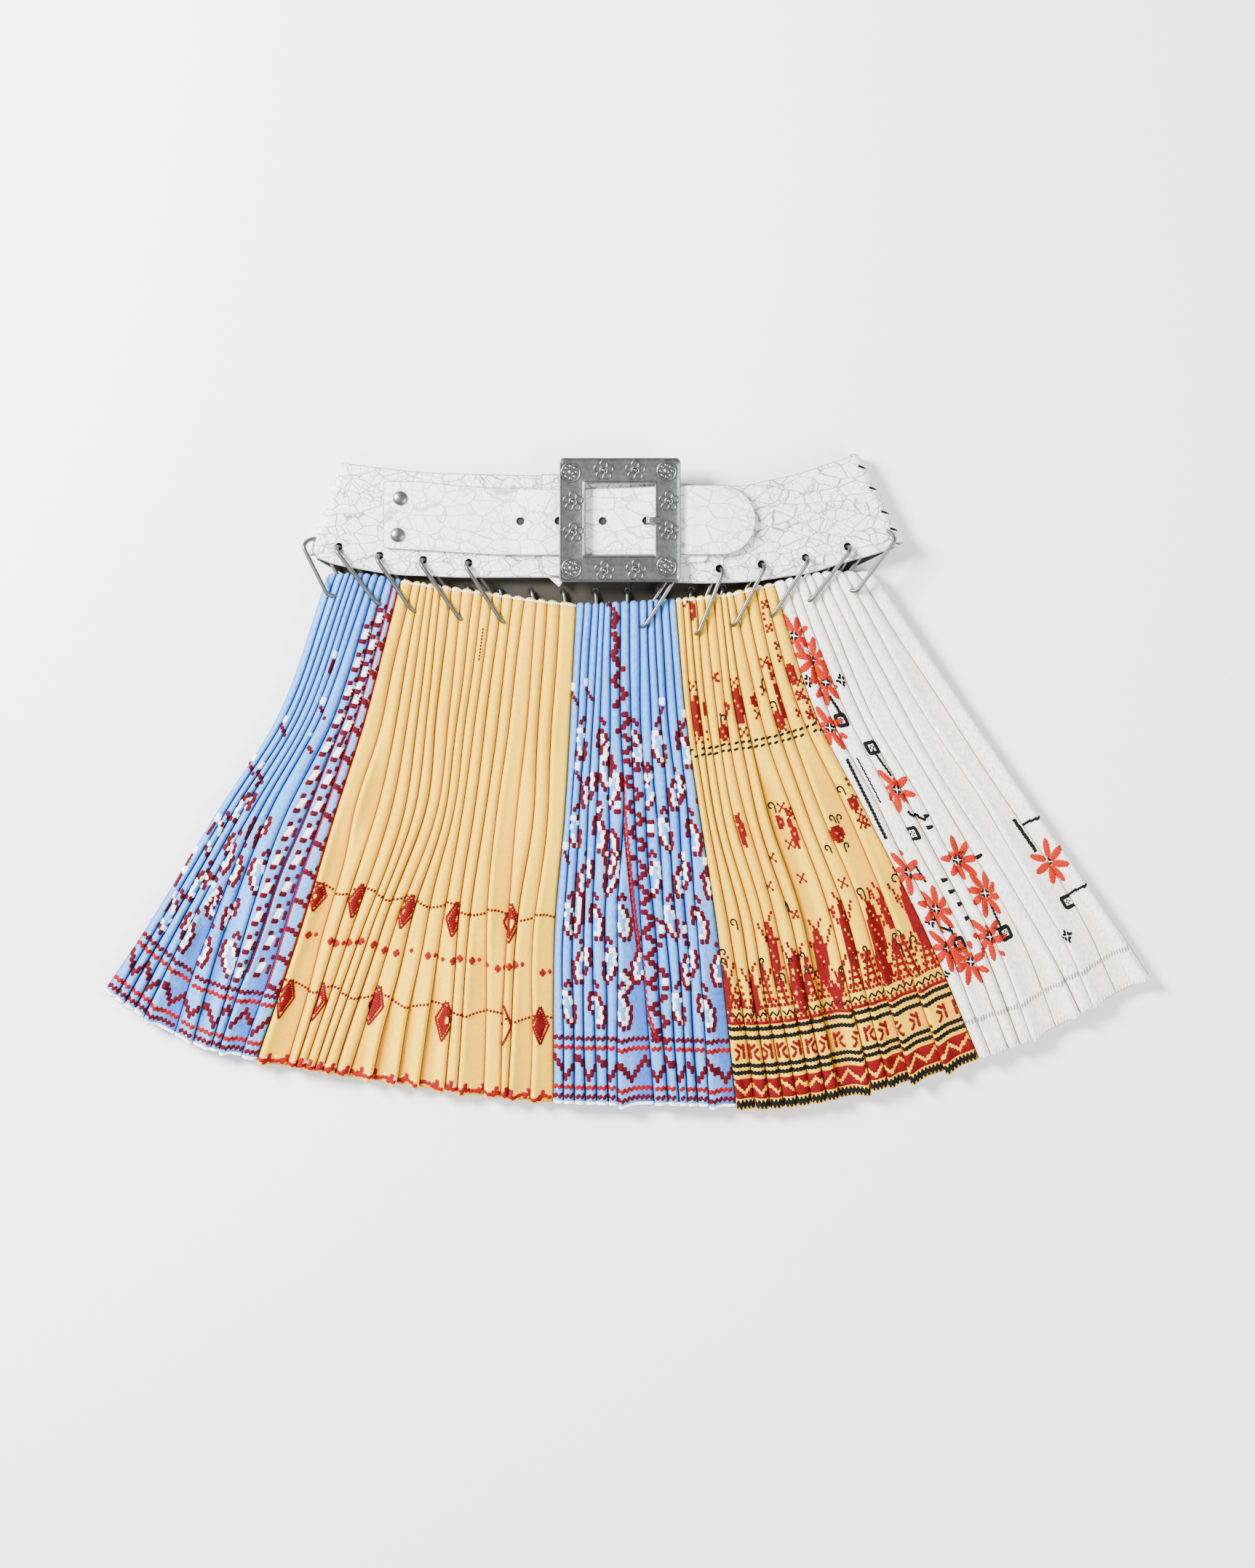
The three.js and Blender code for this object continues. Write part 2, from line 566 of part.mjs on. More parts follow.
function strap() {
  const corner = { first: STRAP_XS[0], inset: 2 };
  const outline = STRAP_XS.map((x) => {
    const inset = x === corner.first ? corner.inset : 0;
    return { x, top: strapTop(x) - inset, bottom: strapBottom(x) + inset };
  });
  const middle = (strapTop(STRAP_X[1]) + strapBottom(STRAP_X[1])) / 2;
  const half = (strapTop(STRAP_X[1]) - strapBottom(STRAP_X[1])) / 2;
  for (const degrees of STRAP_TIP_TURNS) {
    const turn = THREE.MathUtils.degToRad(degrees);
    const reach = half * Math.cos(turn);
    outline.push({ x: STRAP_X[1] + STRAP_TIP * Math.sin(turn), top: middle + reach, bottom: middle - reach });
  }
  const surface = (isUpper) => (i, j) => {
    const { x, top, bottom } = outline[i];
    const y = mix(bottom, top, j / (STRAP_LINES - 1));
    return [x, y, strapUnderside(x) + (isUpper ? STRAP : 0)];
  };
  const body = sheet(outline.length, STRAP_LINES, surface(true), surface(false));
  return cut(body, [
    ...STRAP_HOLES.xs.map((x) => punch(x, STRAP_HOLES.y, STRAP_HOLE)),
    ...RIVETS.map(({ x, y }) => punch(x, y, RIVET.stem + 2 * GAP)),
  ]);
}

// A flat outline with round corners
function roundedBox({ left, right, bottom, top, corner }) {
  const shape = new THREE.Shape();
  const turns = [
    [right - corner, bottom + corner, -90],
    [right - corner, top - corner, 0],
    [left + corner, top - corner, 90],
    [left + corner, bottom + corner, 180],
  ];
  const points = turns.flatMap(([x, y, from]) =>
    [0, 45, 90].map((step) => {
      const turn = THREE.MathUtils.degToRad(from + step);
      return new THREE.Vector2(x + corner * Math.cos(turn), y + corner * Math.sin(turn));
    }),
  );
  return shape.setFromPoints(points);
}

const TAB_Z = FRONT_Z + OVERLAP_LIFT + LEATHER + GAP;
const BUCKLE_Z = TAB_Z + STRAP + GAP + STRAP + GAP;

function buckleTab() {
  const body = new THREE.ExtrudeGeometry(roundedBox(TAB), { depth: STRAP, bevelEnabled: false });
  return body.translate(0, 0, TAB_Z);
}

// A closed round outline whose radius swells and shrinks: lobes petals, each as deep as depth
function lobedShape(radius, depth, lobes, steps) {
  const points = Array.from({ length: steps }, (_, k) => {
    const turn = (2 * Math.PI * k) / steps;
    const reach = radius * (1 - depth * (0.5 - 0.5 * Math.cos(lobes * turn)));
    return new THREE.Vector2(reach * Math.sin(turn), reach * Math.cos(turn));
  });
  return new THREE.Shape(points);
}

const raised = (shape, x, y, height) =>
  new THREE.ExtrudeGeometry(shape, { depth: height + 0.5, bevelEnabled: false }).translate(
    x,
    y,
    BUCKLE_Z + BUCKLE.thickness - 0.5,
  );

// Buckle: a square frame with bevelled rims, a flower four times two round it and a lobed mark at each corner
const BEVEL = 0.6;

function buckle() {
  const outline = roundedBox(BUCKLE);
  outline.holes.push(roundedBox(OPENING));
  const frame = new THREE.ExtrudeGeometry(outline, {
    depth: BUCKLE.thickness - 2 * BEVEL,
    bevelEnabled: true,
    bevelThickness: BEVEL,
    bevelSize: BEVEL,
    bevelOffset: -BEVEL,
    bevelSegments: 1,
  }).translate(0, 0, BUCKLE_Z + BEVEL);
  let solid = solidOf(frame);
  for (const { x, y } of FLOWERS) {
    solid = solid.add(solidOf(raised(lobedShape(FLOWER_RADIUS, 0.42, 5, 20), x, y, RELIEF * 0.6)));
    solid = solid.add(solidOf(raised(lobedShape(2.2, 0, 1, 6), x, y, RELIEF)));
  }
  for (const { x, y } of CORNER_MARKS)
    solid = solid.add(solidOf(raised(lobedShape(CORNER_MARK_RADIUS, 0.25, 8, 16), x, y, RELIEF * 0.6)));
  return geometryOf(solid);
}

// Prong: a hook that laps the buckle's right bar and dips through the strap's last hole
const PRONG = { width: 4.4, pin: 2.7, wall: 1.5 };

function prong() {
  const x = STRAP_HOLES.xs[3] - PRONG.pin / 2;
  const barTop = BUCKLE_Z + BUCKLE.thickness + GAP;
  const profile = new THREE.Shape(
    [
      [x, TAB_Z + 1], [x + PRONG.pin, TAB_Z + 1], [x + PRONG.pin, barTop - 1.8], [OPENING.right - 1.6, barTop],
      [OPENING.right + 3.5, barTop], [OPENING.right + 3.5, barTop + PRONG.wall],
      [OPENING.right - 2.4, barTop + PRONG.wall], [x, barTop - 0.4],
    ].map(([px, pz]) => new THREE.Vector2(px, pz)),
  );
  const body = new THREE.ExtrudeGeometry(profile, { depth: PRONG.width, bevelEnabled: false });
  return body.rotateX(Math.PI / 2).translate(0, STRAP_HOLES.y + PRONG.width / 2, 0);
}

// Assembly
const skirt = new THREE.Group();
skirt.position.set(-MIDDLE_OF_FOOTPRINT.x, -MIDDLE_OF_FOOTPRINT.y, 0);

function place(name, geometry, material) {
  const mesh = new THREE.Mesh(geometry, FINISHES[material].clone());
  mesh.name = name;
  skirt.add(mesh);
}

const frontWays = ways(frontRings);
const backWays = ways(backRings);
FRONT_CLOTHS.forEach((cloth, i) => place(cloth.name, cut(frontCloth(cloth, i), frontWays), cloth.colour));
BACK_CLOTHS.forEach((cloth, i) => place(cloth.name, cut(backCloth(cloth, i), backWays), cloth.colour));

const leftBand = {
  endX: BELT_LEFT_END,
  fold: LEFT_FOLD,
  topEdge: leftBeltTop,
  bottomEdge: leftBeltBottom,
  isBack: false,
  lift: flat,
  foldShare: FOLD_SHARE,
};
const rightBand = {
  ...leftBand,
  endX: BELT_RIGHT_END,
  fold: RIGHT_FOLD,
  topEdge: rightBeltTop,
  bottomEdge: rightBeltBottom,
  lift: rightLift,
};
const backLeftBand = {
  ...leftBand,
  endX: -GAP / 2,
  topEdge: backBeltTop,
  bottomEdge: backBeltBottom,
  isBack: true,
};
const backRightBand = { ...backLeftBand, endX: GAP / 2, fold: RIGHT_FOLD };
const rivetHoles = RIVETS.map(({ x, y }) => punch(x, y, RIVET.stem + 2 * GAP));
const leftBelt = beltHalf(leftBand, frontRings.filter((ring) => isNear(ring, -250, 0)));
place("belt_left", cut(leftBelt, rivetHoles), "leather");
place("belt_right", beltHalf(rightBand, frontRings.filter((ring) => isNear(ring, 0, 250))), "leather");
place("belt_back_left", beltHalf(backLeftBand, backRings.filter((ring) => isNear(ring, -250, 0))), "leather");
place("belt_back_right", beltHalf(backRightBand, backRings.filter((ring) => isNear(ring, 0, 250))), "leather");

place("strap", strap(), "leather");
place("buckle_tab", buckleTab(), "leather");
place("buckle", buckle(), "steel");
place("prong", prong(), "steel");
for (const row of RIVETS) place(row.name, rivet(row), "steel");
for (const ring of [...frontRings, ...backRings]) place(ring.name, ringLoop(ring, WIRE / 2, WIRE_SIDES), "steel");

export default skirt;
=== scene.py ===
# %% [markdown]
# # A pleated mini skirt, laid flat
# The skirt is a fan of narrow pleats in blue, yellow and white cloth. Oblong steel rings hang it from a wide
# cracked leather belt, which a riveted strap and a square buckle fasten. Each part is made here in the
# places and sizes of the solid model, so that the two fit each other.

import math

import bpy
import numpy as np
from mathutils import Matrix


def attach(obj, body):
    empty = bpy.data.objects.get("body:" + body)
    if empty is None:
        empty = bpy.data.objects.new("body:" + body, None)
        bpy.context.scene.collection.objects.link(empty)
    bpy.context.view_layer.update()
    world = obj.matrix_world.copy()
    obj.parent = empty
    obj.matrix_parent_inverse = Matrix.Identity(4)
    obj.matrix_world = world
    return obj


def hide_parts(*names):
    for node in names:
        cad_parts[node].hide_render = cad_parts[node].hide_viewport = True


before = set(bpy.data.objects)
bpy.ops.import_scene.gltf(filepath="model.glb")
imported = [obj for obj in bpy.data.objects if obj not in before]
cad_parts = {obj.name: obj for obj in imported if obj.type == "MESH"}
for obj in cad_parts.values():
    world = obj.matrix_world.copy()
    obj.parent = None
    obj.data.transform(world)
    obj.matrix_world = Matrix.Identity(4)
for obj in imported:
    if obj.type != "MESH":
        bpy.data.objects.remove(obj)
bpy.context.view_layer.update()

# %% [markdown]
# ## Measuring in millimetres
# A pattern maker thinks in millimetres from the middle of the waist. Blender works in metres, so one helper
# turns the one into the other. A second helper makes a mesh object from arrays, which is far quicker than
# adding vertices one at a time.

# %% From the maker's millimetres to the scene
MM = 0.001
WAIST_MIDDLE = np.array([2.5, -0.8, 0.0])  # in the frame


def in_frame(points):
    return (np.asarray(points, float).reshape(-1, 3) + WAIST_MIDDLE) * MM


def make_piece(name, points, faces, material, is_smooth=True):
    mesh = bpy.data.meshes.new(name)
    mesh.from_pydata(in_frame(points).tolist(), [], [tuple(map(int, face)) for face in faces])
    mesh.materials.append(material)
    mesh.polygons.foreach_set("use_smooth", [is_smooth] * len(mesh.polygons))
    mesh.update()
    piece = bpy.data.objects.new(name, mesh)
    bpy.context.scene.collection.objects.link(piece)
    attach(piece, "root")
    return piece


def grid_faces(columns, lines):
    i, j = np.meshgrid(np.arange(columns - 1), np.arange(lines - 1), indexing="ij")
    corner = (i * lines + j).ravel()
    return np.stack([corner, corner + lines, corner + lines + 1, corner + 1], axis=1)


def mix(a, b, share):
    return a + (b - a) * share


# %% [markdown]
# ## Smooth lines through measured points
# A cloth edge or a belt edge was measured at about ten places. A curve object could join them, but a small
# function is handier, because pleats, stitches and rings all need to ask where the edge is. The slope at
# each point is that of its two neighbours, so the line has no corners.

# %% Edge lines


def smooth_line(points):
    xs, ys = np.array(points, float).T
    last = len(xs) - 1
    before = np.maximum(np.arange(last + 1) - 1, 0)
    after = np.minimum(np.arange(last + 1) + 1, last)
    slopes = (ys[after] - ys[before]) / (xs[after] - xs[before])

    def at(x):
        x = np.asarray(x, float)
        i = np.clip(np.searchsorted(xs, x) - 1, 0, last - 1)
        width, rise = xs[i + 1] - xs[i], ys[i + 1] - ys[i]
        t = (x - xs[i]) / width
        a, b = slopes[i] * width - rise, rise - slopes[i + 1] * width
        inside = ys[i] + rise * t + t * (1 - t) * (a * (1 - t) + b * t)
        left, right = ys[i] + slopes[i] * (x - xs[i]), ys[i + 1] + slopes[i + 1] * (x - xs[i + 1])
        return np.where(t < 0, left, np.where(t > 1, right, inside))

    return at


front_waist = smooth_line([
    (-208, 144), (-183, 144), (-157, 140), (-101, 132), (-37, 124), (0, 125), (31, 127), (67, 131),
    (98, 138),
    (131, 145), (166, 146),
])
back_waist = smooth_line([
    (-208, 144), (-157, 126), (-100, 108), (-20, 102), (60, 106), (110, 122), (166, 146),
])
hem_line = smooth_line([
    (-362, -142), (-334, -161), (-301, -179), (-257, -190), (-161, -206), (-53, -219), (34, -221),
    (106, -222),
    (193, -204), (240, -189), (276, -176), (318, -153), (357, -132),
])
print("the hem is lowest at", float(hem_line(106)), "mm")

# %% [markdown]
# ## Colour that follows the folds
# Pleated cotton is shown pale on top of each roll and dark in the fold beside it, and its weave shows from
# close by. A picture of cloth would need unwrapping. Here each cloth carries its own thread coordinates in
# millimetres, and the nodes draw weave from them at its real size. A number on each point tells how deep it
# lies in a fold, and from it the colour takes a painted highlight on each roll and painted shade in each
# fold.

# %% Node helpers


class Recipe:
    """A material's node tree, written as sums."""

    def __init__(self, name, roughness, metallic=0.0, sheen=0.0, specular=0.5):
        self.material = bpy.data.materials.new(name)
        self.material.use_nodes = True
        self.tree = self.material.node_tree
        self.shader = self.tree.nodes["Principled BSDF"]
        sockets = self.shader.inputs
        sockets["Roughness"].default_value = roughness
        sockets["Metallic"].default_value = metallic
        sockets["Sheen Weight"].default_value = sheen
        sockets["Specular IOR Level"].default_value = specular

    def node(self, kind, values=None, **settings):
        made = self.tree.nodes.new(kind)
        for key, value in settings.items():
            setattr(made, key, value)
        for key, value in (values or {}).items():
            self.feed(made.inputs[key], value)
        return made

    def feed(self, socket, value):
        if isinstance(value, bpy.types.NodeSocket):
            self.tree.links.new(value, socket)
        else:
            socket.default_value = value

    def sum(self, operation, *terms):
        return self.node("ShaderNodeMath", dict(enumerate(terms)), operation=operation).outputs[0]

    def blend(self, share, first, second):
        made = self.node("ShaderNodeMix", data_type="RGBA")
        self.feed(made.inputs["Factor"], share)
        self.feed(made.inputs["A"], first)
        self.feed(made.inputs["B"], second)
        return made.outputs["Result"]

    def soft_step(self, value, low, high):
        values = {"Value": value, "From Min": low, "From Max": high}
        return self.node("ShaderNodeMapRange", values, interpolation_type="SMOOTHSTEP").outputs[0]

    def noise(self, scale, detail=2.0, where=None):
        where = where or self.node("ShaderNodeTexCoord").outputs["Object"]
        values = {"Vector": where, "Scale": scale, "Detail": detail}
        return self.node("ShaderNodeTexNoise", values).outputs["Fac"]

    def bump(self, height, depth_mm, strength=1.0):
        values = {"Height": height, "Distance": depth_mm * MM, "Strength": strength}
        self.feed(self.shader.inputs["Normal"], self.node("ShaderNodeBump", values).outputs[0])


def rgb(red, green, blue):
    """A colour as it is seen, 0 to 255, turned into the light it stands for."""
    light = [((c / 255 + 0.055) / 1.055) ** 2.4 if c > 10 else c / 255 / 12.92 for c in (red, green, blue)]
    return (*light, 1.0)


# %% [markdown]
# ## Three weaves
# The blue cotton is an even weave of small square blocks. The yellow is a twill, with fine slanting lines.
# The white is an open weave with pin holes in rows. Sines of the thread coordinates give all three: their
# product makes blocks, their sum makes slanted lines, and the meeting of two low points makes a hole.

# %% Cloth materials
TURN = 2 * math.pi
MOTTLE = 0.35  # how unevenly the cloth is shaded


def thread_waves(recipe, pitch):
    place = recipe.node("ShaderNodeUVMap", uv_map="thread").outputs[0]
    parts = recipe.node("ShaderNodeSeparateXYZ", {0: place})
    return [recipe.sum("MULTIPLY", parts.outputs[axis], TURN / pitch) for axis in range(2)]


def cloth_material(name, weave, pitch, ridge_highlight, face, fold, contrast, depth):
    recipe = Recipe(name, roughness=0.95, sheen=0.04, specular=0.1)
    across, along = thread_waves(recipe, pitch)
    if weave == "twill":
        lines = recipe.sum("SINE", recipe.sum("ADD", across, along))
        height = recipe.sum("MULTIPLY_ADD", lines, 0.5, 0.5)
    elif weave == "holes":
        lower = recipe.sum("MINIMUM", recipe.sum("SINE", across), recipe.sum("SINE", along))
        height = recipe.sum("SUBTRACT", 1.0, recipe.soft_step(lower, 0.3, 0.85))
    else:
        blocks = recipe.sum("MULTIPLY", recipe.sum("SINE", across), recipe.sum("SINE", along))
        height = recipe.sum("MULTIPLY_ADD", blocks, 0.5, 0.5)
    where = recipe.node("ShaderNodeUVMap", uv_map="thread").outputs[0]
    fold_depth = recipe.node("ShaderNodeAttribute", attribute_name="fold_depth").outputs["Fac"]
    mottle = recipe.sum("MULTIPLY_ADD", recipe.noise(14.0), MOTTLE, -MOTTLE / 2)
    shade_here = recipe.sum("ADD", fold_depth, mottle)
    # Painted light: the ridge colour is a painted highlight on top of each roll, the face colour is the
    # cloth's own, and the fold colour is painted shade deep in the fold.
    colour = recipe.blend(recipe.soft_step(shade_here, 0.0, 0.42), ridge_highlight, face)
    colour = recipe.blend(recipe.soft_step(shade_here, 0.5, 0.95), colour, fold)
    shade = recipe.node("ShaderNodeMix", data_type="RGBA", blend_type="MULTIPLY")
    recipe.feed(shade.inputs["Factor"], 1.0)
    recipe.feed(shade.inputs["A"], colour)
    stretch = {0: where, 1: (0.62, 0.3, 1.0)}
    stretched = recipe.node("ShaderNodeVectorMath", stretch, operation="MULTIPLY").outputs[0]
    slubs = recipe.soft_step(recipe.noise(1.0, 3.0, stretched), 0.3, 0.62)
    tone = recipe.sum("MULTIPLY_ADD", height, 0.55, recipe.sum("MULTIPLY", slubs, 0.45))
    recipe.feed(shade.inputs["B"], recipe.blend(tone, contrast, (1.0, 1.0, 1.0, 1.0)))
    recipe.feed(recipe.shader.inputs["Base Color"], shade.outputs["Result"])
    recipe.bump(height, depth, 0.8)
    return recipe.material


# Per cloth: painted highlight on the roll tops, face colour, painted shade in the folds, the weave's darker
# tone, and the bump depth.
CLOTH_MATERIALS = {
    "blue": cloth_material(
        "blue_even_weave", "blocks", 1.15, rgb(118, 178, 240), rgb(64, 118, 198), rgb(14, 38, 92),
        rgb(150, 176, 220), 0.35,
    ),
    "yellow": cloth_material(
        "cream_yellow_twill", "twill", 0.95, rgb(252, 204, 26), rgb(226, 168, 6), rgb(136, 82, 3),
        rgb(236, 222, 196), 0.18,
    ),
    "white": cloth_material(
        "white_open_weave", "holes", 1.3, rgb(253, 252, 249), rgb(250, 236, 216), rgb(120, 98, 74),
        rgb(176, 172, 166), 0.4,
    ),
}
print("cloths:", ", ".join(CLOTH_MATERIALS))

# %% [markdown]
# ## The fan of pleats
# Sixty-one pleats run from the waist to the hem on the front. Their edges spread out like the sticks of a
# fan, but no two are equally wide. A simulation would fold the cloth at random. The table below gives each
# pleat's width at the waist, the middle and the hem instead, which keeps the folds in their order and close
# to their widths.

# %% Widths of the pleats
CUT_HEIGHTS = (48, -22, -102)
FRONT_SEAMS = np.array([  # X at the waist, at three heights and at the hem
    (-208, -242, -286, -335, -362),
    (-157, -181, -203, -227, -257),
    (-37, -41, -45, -52, -53),
    (31, 38, 48, 60, 73),
    (98, 127, 163, 203, 240),
    (166, 233, 281, 337, 357),
], float)
FRONT_PLEATS = {  # width at the waist, the middle and the hem
    "front_blue_left": [
        (6.5, 6.5, 7.5), (5.5, 5.5, 6), (4, 6, 6.5), (4.5, 6.5, 6.5), (4.5, 6, 21), (5.5, 6.5, 12.5),
        (5, 13, 12), (5.5, 12.5, 5.5), (5.5, 12, 16), (4.5, 9.5, 10.5),
    ],
    "front_yellow_left": [
        (8, 13.5, 21), (5.5, 14, 5.5), (4.5, 11, 6.5), (4.5, 9, 6.5), (5, 7, 5.5), (7, 6.5, 8.5),
        (7.5, 9, 9.5), (8, 5, 16), (6, 6, 17), (7, 6.5, 15.5), (6.5, 7.5, 18), (7.5, 8, 8),
        (8, 8, 18.5), (8.5, 15, 12), (7, 10, 4.5), (8.5, 10, 15.5), (11.5, 12.5, 16),
    ],
    "front_blue_centre": [
        (5.5, 4.5, 7), (5.5, 5.5, 7.5), (4.5, 6, 7.5), (4, 5.5, 8), (4.5, 9, 8), (6, 9.5, 6.5),
        (6.5, 7.5, 25.5), (6.5, 8, 9.5), (5.5, 7.5, 7.5), (4.5, 8.5, 6), (4.5, 6.5, 6.5), (5.5, 7, 8),
        (5, 8, 19),
    ],
    "front_yellow_right": [
        (4.5, 4.5, 13), (4.5, 5.5, 10), (4.5, 6, 9.5), (6, 7, 9.5), (6, 8, 10), (4.5, 8, 10),
        (4, 8.5, 8.5), (4.5, 17, 22.5), (7.5, 10, 11.5), (7.5, 10, 14.5), (5.5, 16.5, 24), (7, 13.5, 23.5),
    ],
    "front_white_right": [
        (8, 10, 8), (6, 13, 12.5), (6.5, 10, 7.5), (5.5, 9, 8.5), (7, 16, 16.5), (7.5, 10, 17),
        (7.5, 16, 8.5), (9, 19, 16.5), (11, 15, 22.5),
    ],
}
BACK_CLOTHS = {"back_blue": (0, 0.33), "back_yellow": (0.33, 0.67), "back_white": (0.67, 1)}
BACK_PLEATS = 14
print(sum(map(len, FRONT_PLEATS.values())), "front pleats")

# %% [markdown]
# ## A cloth that knows where its threads are
# Stitches have to sit on the folds, so the cloth is more than a mesh. Each one is a small class that answers
# one question: where in space is the point that lies so far across pleat number such-and-such, and so far
# down the fall? The mesh asks it once for every vertex, and the embroidery asks again later.

# %% Pleated cloth
FALL_STEPS = 400
SEAM_GAP = 0.3
WANDER = 0.09  # of a pleat's width, by which its edge strays
THREAD_RISE = 1.25  # cloth across a roll, over its plain width
WIDE_FROM, WIDE_SPAN = 9.5, 6.5  # a pleat wider than this turns from a roll into a crest with a flat face


class PleatedCloth:
    def __init__(self, name, widths, left_seam, right_seam, waist, seed):
        self.name, self.count = name, len(widths)
        self.random = np.random.default_rng(seed)
        self.fall = np.linspace(0, 1, FALL_STEPS + 1)
        at_waist, at_middle, at_hem = np.array(widths, float).T
        cuts = np.stack([
            at_waist, mix(at_waist, at_middle, 0.5), at_middle, mix(at_middle, at_hem, 0.5), at_hem,
        ])
        shares = np.concatenate([np.zeros((5, 1)), np.cumsum(cuts, axis=1)], axis=1)
        shares /= shares[:, -1:]
        crossings = mix(left_seam[:, None], right_seam[:, None], shares)
        self.x = np.empty((self.count + 1, FALL_STEPS + 1))
        self.y = np.empty_like(self.x)
        for i in range(self.count + 1):
            self.lay_edge(i, crossings[:, i], waist)
        self.stray()
        self.narrow = np.hypot(np.diff(self.x, axis=0), np.diff(self.y, axis=0))
        self.length = np.hypot(self.x[:, 0] - self.x[:, -1], self.y[:, 0] - self.y[:, -1])
        self.peak = self.random.uniform(0.36, 0.64, self.count)
        self.swell = self.random.uniform(0.82, 1.1, self.count)
        self.leans_right = self.random.random(self.count) < 0.3

    def lay_edge(self, i, crossings, waist):
        top, bottom = waist(crossings[0]), hem_line(crossings[4])
        heights = np.array([top, *CUT_HEIGHTS, bottom], float)
        across = smooth_line(np.stack([-heights, crossings], axis=1))
        self.y[i] = mix(top, bottom, self.fall)
        self.x[i] = across(-self.y[i])

    def stray(self):
        waves = self.random.uniform(1.2, 3.6, self.count + 1)
        starts = self.random.uniform(0, TURN, self.count + 1)
        for i in range(1, self.count):
            room = np.minimum(self.x[i] - self.x[i - 1], self.x[i + 1] - self.x[i])
            sway = np.sin(starts[i] + TURN * waves[i] * self.fall) * np.sin(math.pi * self.fall) ** 0.5
            self.x[i] += WANDER * room * sway

    def on_edge(self, table, pleat, v):
        at = np.clip(v, 0, 1) * FALL_STEPS
        low = np.minimum(at.astype(int), FALL_STEPS - 1)
        return mix(table[pleat, low], table[pleat, low + 1], at - low)

    def width(self, pleat, v):
        return self.on_edge(self.narrow, pleat, v)

    def roll(self, pleat, across, v):
        """Height of the cloth's roll, 0 in the fold and 1 on top."""
        flip = self.leans_right[pleat]
        across = np.where(flip, 1 - across, across)
        peak = self.peak[pleat]
        t = np.where(across < peak, across / peak, (1 - across) / (1 - peak))
        power = 2.3
        narrow = (1 - (1 - np.clip(t, 0, 1)) ** power) ** (1 / power)
        width = self.width(pleat, v)
        crest = np.clip(6.0 / np.maximum(width, 1), 0.12, 0.9)
        up = np.clip(across / (crest * 0.45), 0, 1)
        rising = (1 - (1 - up) ** power) ** (1 / power)
        down = np.clip((across - crest * 0.45) / (1 - crest * 0.45), 0, 1)
        face = 1 - 0.62 * np.sin(np.clip(down * 1.9, 0, 1) * math.pi / 2) ** 1.3 - 0.16 * down
        end = np.clip((1 - across) / 0.07, 0, 1)
        wide = rising * face * (1 - (1 - end) ** power) ** (1 / power)
        share = np.clip((width - WIDE_FROM) / WIDE_SPAN, 0, 1)
        return mix(narrow, wide, share * share * (3 - 2 * share))

    def shape(self, pleat, across, v):
        """Plain place, height and roll."""
        roll = self.roll(pleat, across, v)
        x = mix(self.on_edge(self.x, pleat, v), self.on_edge(self.x, pleat + 1, v), across)
        y = mix(self.on_edge(self.y, pleat, v), self.on_edge(self.y, pleat + 1, v), across)
        x += np.where((pleat == 0) & (across < 0.01), SEAM_GAP / 2, 0.0)
        return x, y, roll

    def point(self, pleat, across, v, lift=0.0):
        pleat, across, v = np.broadcast_arrays(pleat, np.asarray(across, float), np.asarray(v, float))
        pleat = pleat.astype(int)
        here = self.place(pleat, across, v)
        if np.isscalar(lift) and lift == 0:
            return here
        step_a, step_v = 0.03, 0.003
        right = self.place(pleat, np.minimum(across + step_a, 1), v)
        left = self.place(pleat, np.maximum(across - step_a, 0), v)
        up = self.place(pleat, across, np.maximum(v - step_v, 0))
        down = self.place(pleat, across, np.minimum(v + step_v, 1))
        normal = np.cross(right - left, up - down) * self.outside
        normal /= np.maximum(np.linalg.norm(normal, axis=-1, keepdims=True), 1e-9)
        return here + normal * np.asarray(lift)[..., None]


# %% [markdown]
# ## How the front lies
# At the waist the front cloth rides on the rings' inner legs. Below them it sinks on to the back cloth. Its
# top edge is folded over, so each roll ends in a rounded lip. The two outer pleats at each side bend down to
# meet the back.

# %% Front and back cloth
CLOTH_WALL = 1.8
FRONT_LEVEL = ((0, 0.13, 0.3, 1), (12.9, 12.9, 5.0, 5.0))
FRONT_SIDE_LEVEL = ((0, 0.13, 0.3, 1), (7.1, 7.1, 4.6, 4.6))
FRONT_ROLL = (4.4, 6.8)  # its height at the waist and at the hem
HEM_DIP = 1.5
WIDE_DIP = 0.2  # more dip for each millimetre that a pleat is wider than nine
LIP = 0.016  # share of the fall that the rounded lip at the top takes
FOLD_PLEATS = 2


class FrontCloth(PleatedCloth):
    outside = 1.0

    def __init__(self, index, name, widths, seed):
        self.is_first, self.is_last = index == 0, index == len(FRONT_PLEATS) - 1
        super().__init__(name, widths, FRONT_SEAMS[index], FRONT_SEAMS[index + 1], front_waist, seed)

    def place(self, pleat, across, v):
        x, y, roll = self.shape(pleat, across, v)
        from_left = (pleat + across) / FOLD_PLEATS if self.is_first else 1.0
        from_right = (self.count - pleat - across) / FOLD_PLEATS if self.is_last else 1.0
        inner = np.clip(np.minimum(from_left, from_right), 0, 1)
        level = mix(np.interp(v, *FRONT_SIDE_LEVEL), np.interp(v, *FRONT_LEVEL), inner)
        lip = np.sqrt(1 - (1 - np.clip(v / LIP, 0, 1)) ** 2)
        height = roll * mix(*FRONT_ROLL, v) * self.swell[pleat] * mix(0.35, 1.0, lip)
        wide = np.clip(self.width(pleat, v) - 9, 0, 14)
        y = y - roll * (HEM_DIP + WIDE_DIP * wide) * v**3 - (1 - roll) * 3.0 * (1 - lip)
        return np.stack(np.broadcast_arrays(x, y, level + CLOTH_WALL + height), axis=-1)


BACK_LEVEL = ((0, 0.14, 0.24, 1), (3.0, 3.0, 0.5, 0.5))
BACK_ROLL = 1.9


